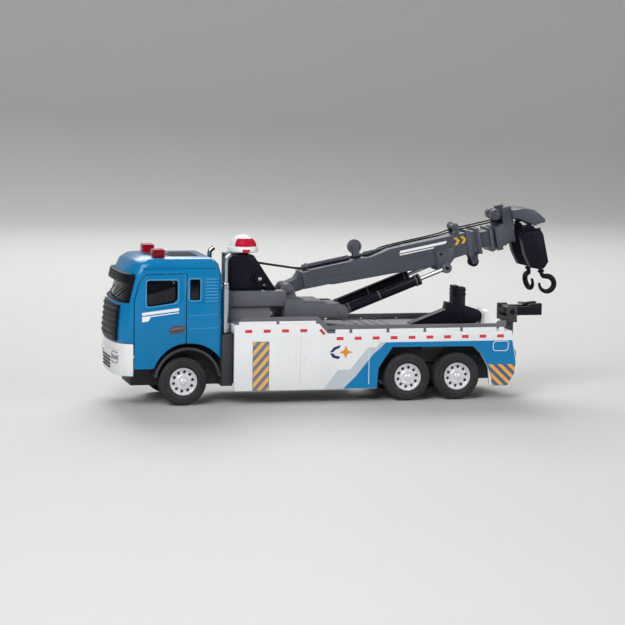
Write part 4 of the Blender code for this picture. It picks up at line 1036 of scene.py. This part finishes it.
for side_name, side in SIDES:
    route = [Vector((x, side * y, z)) for x, z, y in from_drum]
    route += [at_boom(u, v, side * y) for u, v, y in over_boom]
    fine = smooth_route(route)
    lengths = (
        ("winch_rope", 0, 8, "superstructure", "boom"),
        ("ridge_rope", 8, 12, "boom", None),
        ("telescope_rope", 12, 13, "boom", "inner_boom"),
        ("collar_rope", 13, 14, "inner_boom", "boom_head"),
        ("nose_rope", 14, 19, "boom_head", None),
        ("guide_rope", 19, 20, f"rope_guide_{side_name}", None),
        ("fall_rope", 20, 21, f"rope_guide_{side_name}", f"hook_block_{side_name}"),
    )
    for name, first, last, body, next_body in lengths:
        piece = piping(fine[first * 10:last * 10 + 1], rope_radius)
        node = f"winch_rope_{side_name}"
        finished(piece, f"{name}_{side_name}", "gear_black", None if next_body else body, (node,))
        if next_body:
            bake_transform(piece)
    away = side * line_out
    tail = piping([at_boom(u, v, away) for u, v in rope_tail], rope_radius)
    knot = peg(at_boom(147.9, 4.1, away), at_boom(148.8, 4.0, away), 0.6, 16, 0.2)
    finished(joined([tail, knot]), f"rope_tail_{side_name}", "gear_black",
             f"hook_block_{side_name}")
print("ropes laid")

# %% [markdown]
# The button on the winch tower looks like a rescue helmet: a white dome with a faceted red
# window on each side and a small red tab on the rim. The window is the dome's own profile,
# spun through part of a turn in few steps so that it shows facets.

# %% Light button
button_x, rim_low = -51.6, 80.9
dome_profile = [(rim_low, 0.0), (rim_low, 8.1), (81.3, 8.5), (83.5, 8.5), (83.9, 8.2),
                (84.1, 7.7), (85.6, 7.4), (87.2, 6.5), (88.6, 5.2), (89.7, 3.4), (90.3, 1.6),
                (90.45, 0.0)]
dome = turned(dome_profile, (button_x, 0, 0), (0, 0, 1), 64)
finished(dome, "button_dome", "print_white", "light_button", ("light_button",))
windows = []
for _, side in SIDES:
    inner = [(84.2, 7.3), (84.2, 8.0), (85.7, 7.85), (87.2, 6.95), (88.5, 5.6), (88.3, 5.0),
             (85.5, 6.9)]
    turn = math.radians(-46)
    points = [(button_x + r * math.sin(turn), side * r * math.cos(turn), z) for z, r in inner]
    pane = from_points(points, (), [range(len(points))])
    start_editing()
    bpy.ops.mesh.spin(steps=5, angle=math.radians(102), center=(button_x * MM, 0, 0),
                      axis=(0, 0, side))
    close_editing()
    windows.append(round_edges(pane, 0.12, 2, 25))
    windows.append(block((button_x - 2.0, side * 8.2, 80.98), (button_x + 2.2, side * 8.75, 82.7),
                         0.2))
finished(joined(windows), "button_windows", "window_red", "light_button", smooth=8)
stem = peg((button_x, 0, 75.5), (button_x, 0, 81.4), 2.9, 32)
finished(stem, "button_stem", "gear_black", "light_button")
print("button ready")

# %% [markdown]
# The winch tower has a round boss where each drum's knob comes out, a raised border that
# follows its outline, and small bolt heads. The knob's centre is a bright pin.

# %% Tower trim
trim, shaft = [], (-45, 0, 67)
for side_name, side in SIDES:
    trim.append(turned([(10.8, 3.15), (10.8, 4.1), (11.6, 4.1), (11.8, 3.9), (11.8, 3.15)],
                       shaft, (0, side, 0), 40, closed=True))
    border = [(-60.7, 61.3), (-60.7, 79.0), (-48.1, 79.0), (-43.7, 72.7), (-36.2, 61.3)]
    trim.append(piping([(x, side * 11.0, z) for x, z in border], 0.32))
    trim += [peg((x, side * 10.9, z), (x, side * 11.35, z), 0.7, 12, 0.1)
             for x, z in ((-59.0, 77.2), (-50.0, 77.2), (-59.0, 63.2), (-51.0, 63.2))]
    pin = turned([(13.9, 0.0), (13.9, 0.95), (14.25, 0.95), (14.4, 0.7), (14.45, 0.0)],
                 shaft, (0, side, 0), 24)
    finished(pin, f"knob_pin_{side_name}", "bright_plastic", f"drum_{side_name}")
finished(joined(trim), "tower_trim", "gear_black", "superstructure")
vents = [block((x, -15.1, 53.6), (x + 1.4, 15.1, 58.6), 0.3) for x in (-60.0, -57.0, -54.0)]
vents += [peg((-27.5, s * 9.9, 60.5), (-27.5, s * 10.5, 60.5), 1.3, 6, 0.1) for s in (-1, 1)]
vents += [peg((foot_x, s * 16.9, foot_z), (foot_x, s * 17.4, foot_z), 1.6, 20) for s in (-1, 1)]
finished(joined(vents), "slewing_frame_trim", "frame_grey", "superstructure")
print("tower trimmed")

# %% [markdown]
# Behind the wheels the arches need dark liners, or daylight shows through above the tyres.
# Each liner is a plain block with rounded edges.

# %% Arch liners
liners = []
for _, side in SIDES:
    for low_x, high_x, low_z, high_z in ((-107.0, -72.5, 20.0, 37.5), (19.5, 83.0, 19.5, 30.6)):
        liners.append(block((low_x, side * 15.2, low_z), (high_x, side * 16.6, high_z), 0.6))
    liners.append(block((45.0, side * 16.6, 27.6), (57.0, side * 24.0, 29.4), 0.5))
finished(joined(liners), "arch_liners", "chassis_black")

# %% [markdown]
# Last details: white edge strips under the handrails, tail lamps, a blank number plate, and
# small fittings on the deck and on the underlift.


# %% Deck and tail fittings
def edge_strips(side):
    spans = [(-59.5, -38.6), (-37.0, -16.4)]
    low = [(-5.4, 2.6)] + [(4.2 + 21.15 * k, 23.8 + 21.15 * k) for k in range(4)] + [(88.8, 91.6)]
    strips = [block((a, side * 27.95, 43.4), (b, side * 28.25, 45.2), 0.1) for a, b in spans]
    return strips + [block((a, side * 27.95, 37.9), (b, side * 28.25, 40.2), 0.1) for a, b in low]


def tail_lamps(side):
    return [block((96.6, side * 19.0, 21.0), (98.9, side * 27.5, 24.6), 0.4),
            block((96.9, side * 19.0, 25.6), (98.4, side * 27.5, 28.0), 0.4)]


both_sides(edge_strips, "deck_edge_strips", "body_white")
both_sides(tail_lamps, "tail_lamps", "lamp_red")
plate = block((97.2, -8.0, 23.6), (98.7, 8.0, 28.0), 0.3)
finished(plate, "blank_number_plate", "print_white")
fittings = [peg((x, y, 39.2), (x, y, 40.0), 0.9, 12, 0.15)
            for x in (12, 30, 60) for y in (-20, 20)]
fittings += [block((x, -22.0, 39.1), (x + 1.0, 22.0, 39.6), 0.15)
             for x in (14.0, 20.0, 26.0, 32.0, 88.0)]
finished(joined(fittings), "deck_fittings", "deck_grey")
post = [block((69.0, -3.7, 58.0), (76.9, 3.7, 58.8), 0.2),
        block((69.0, -3.7, 55.6), (76.9, 3.7, 56.4), 0.2)]
post += [peg((76.0, s * 3.9, 46.0), (76.0, s * 4.5, 46.0), 1.1, 20) for s in (-1, 1)]
finished(joined(post), "mast_bands", "gear_black")
cap = peg((111.0, 0, 50.0), (111.0, 0, 50.9), 2.2, 24, 0.2)
finished(cap, "fork_cap", "frame_grey", "tow_fork")
print("fittings ready")
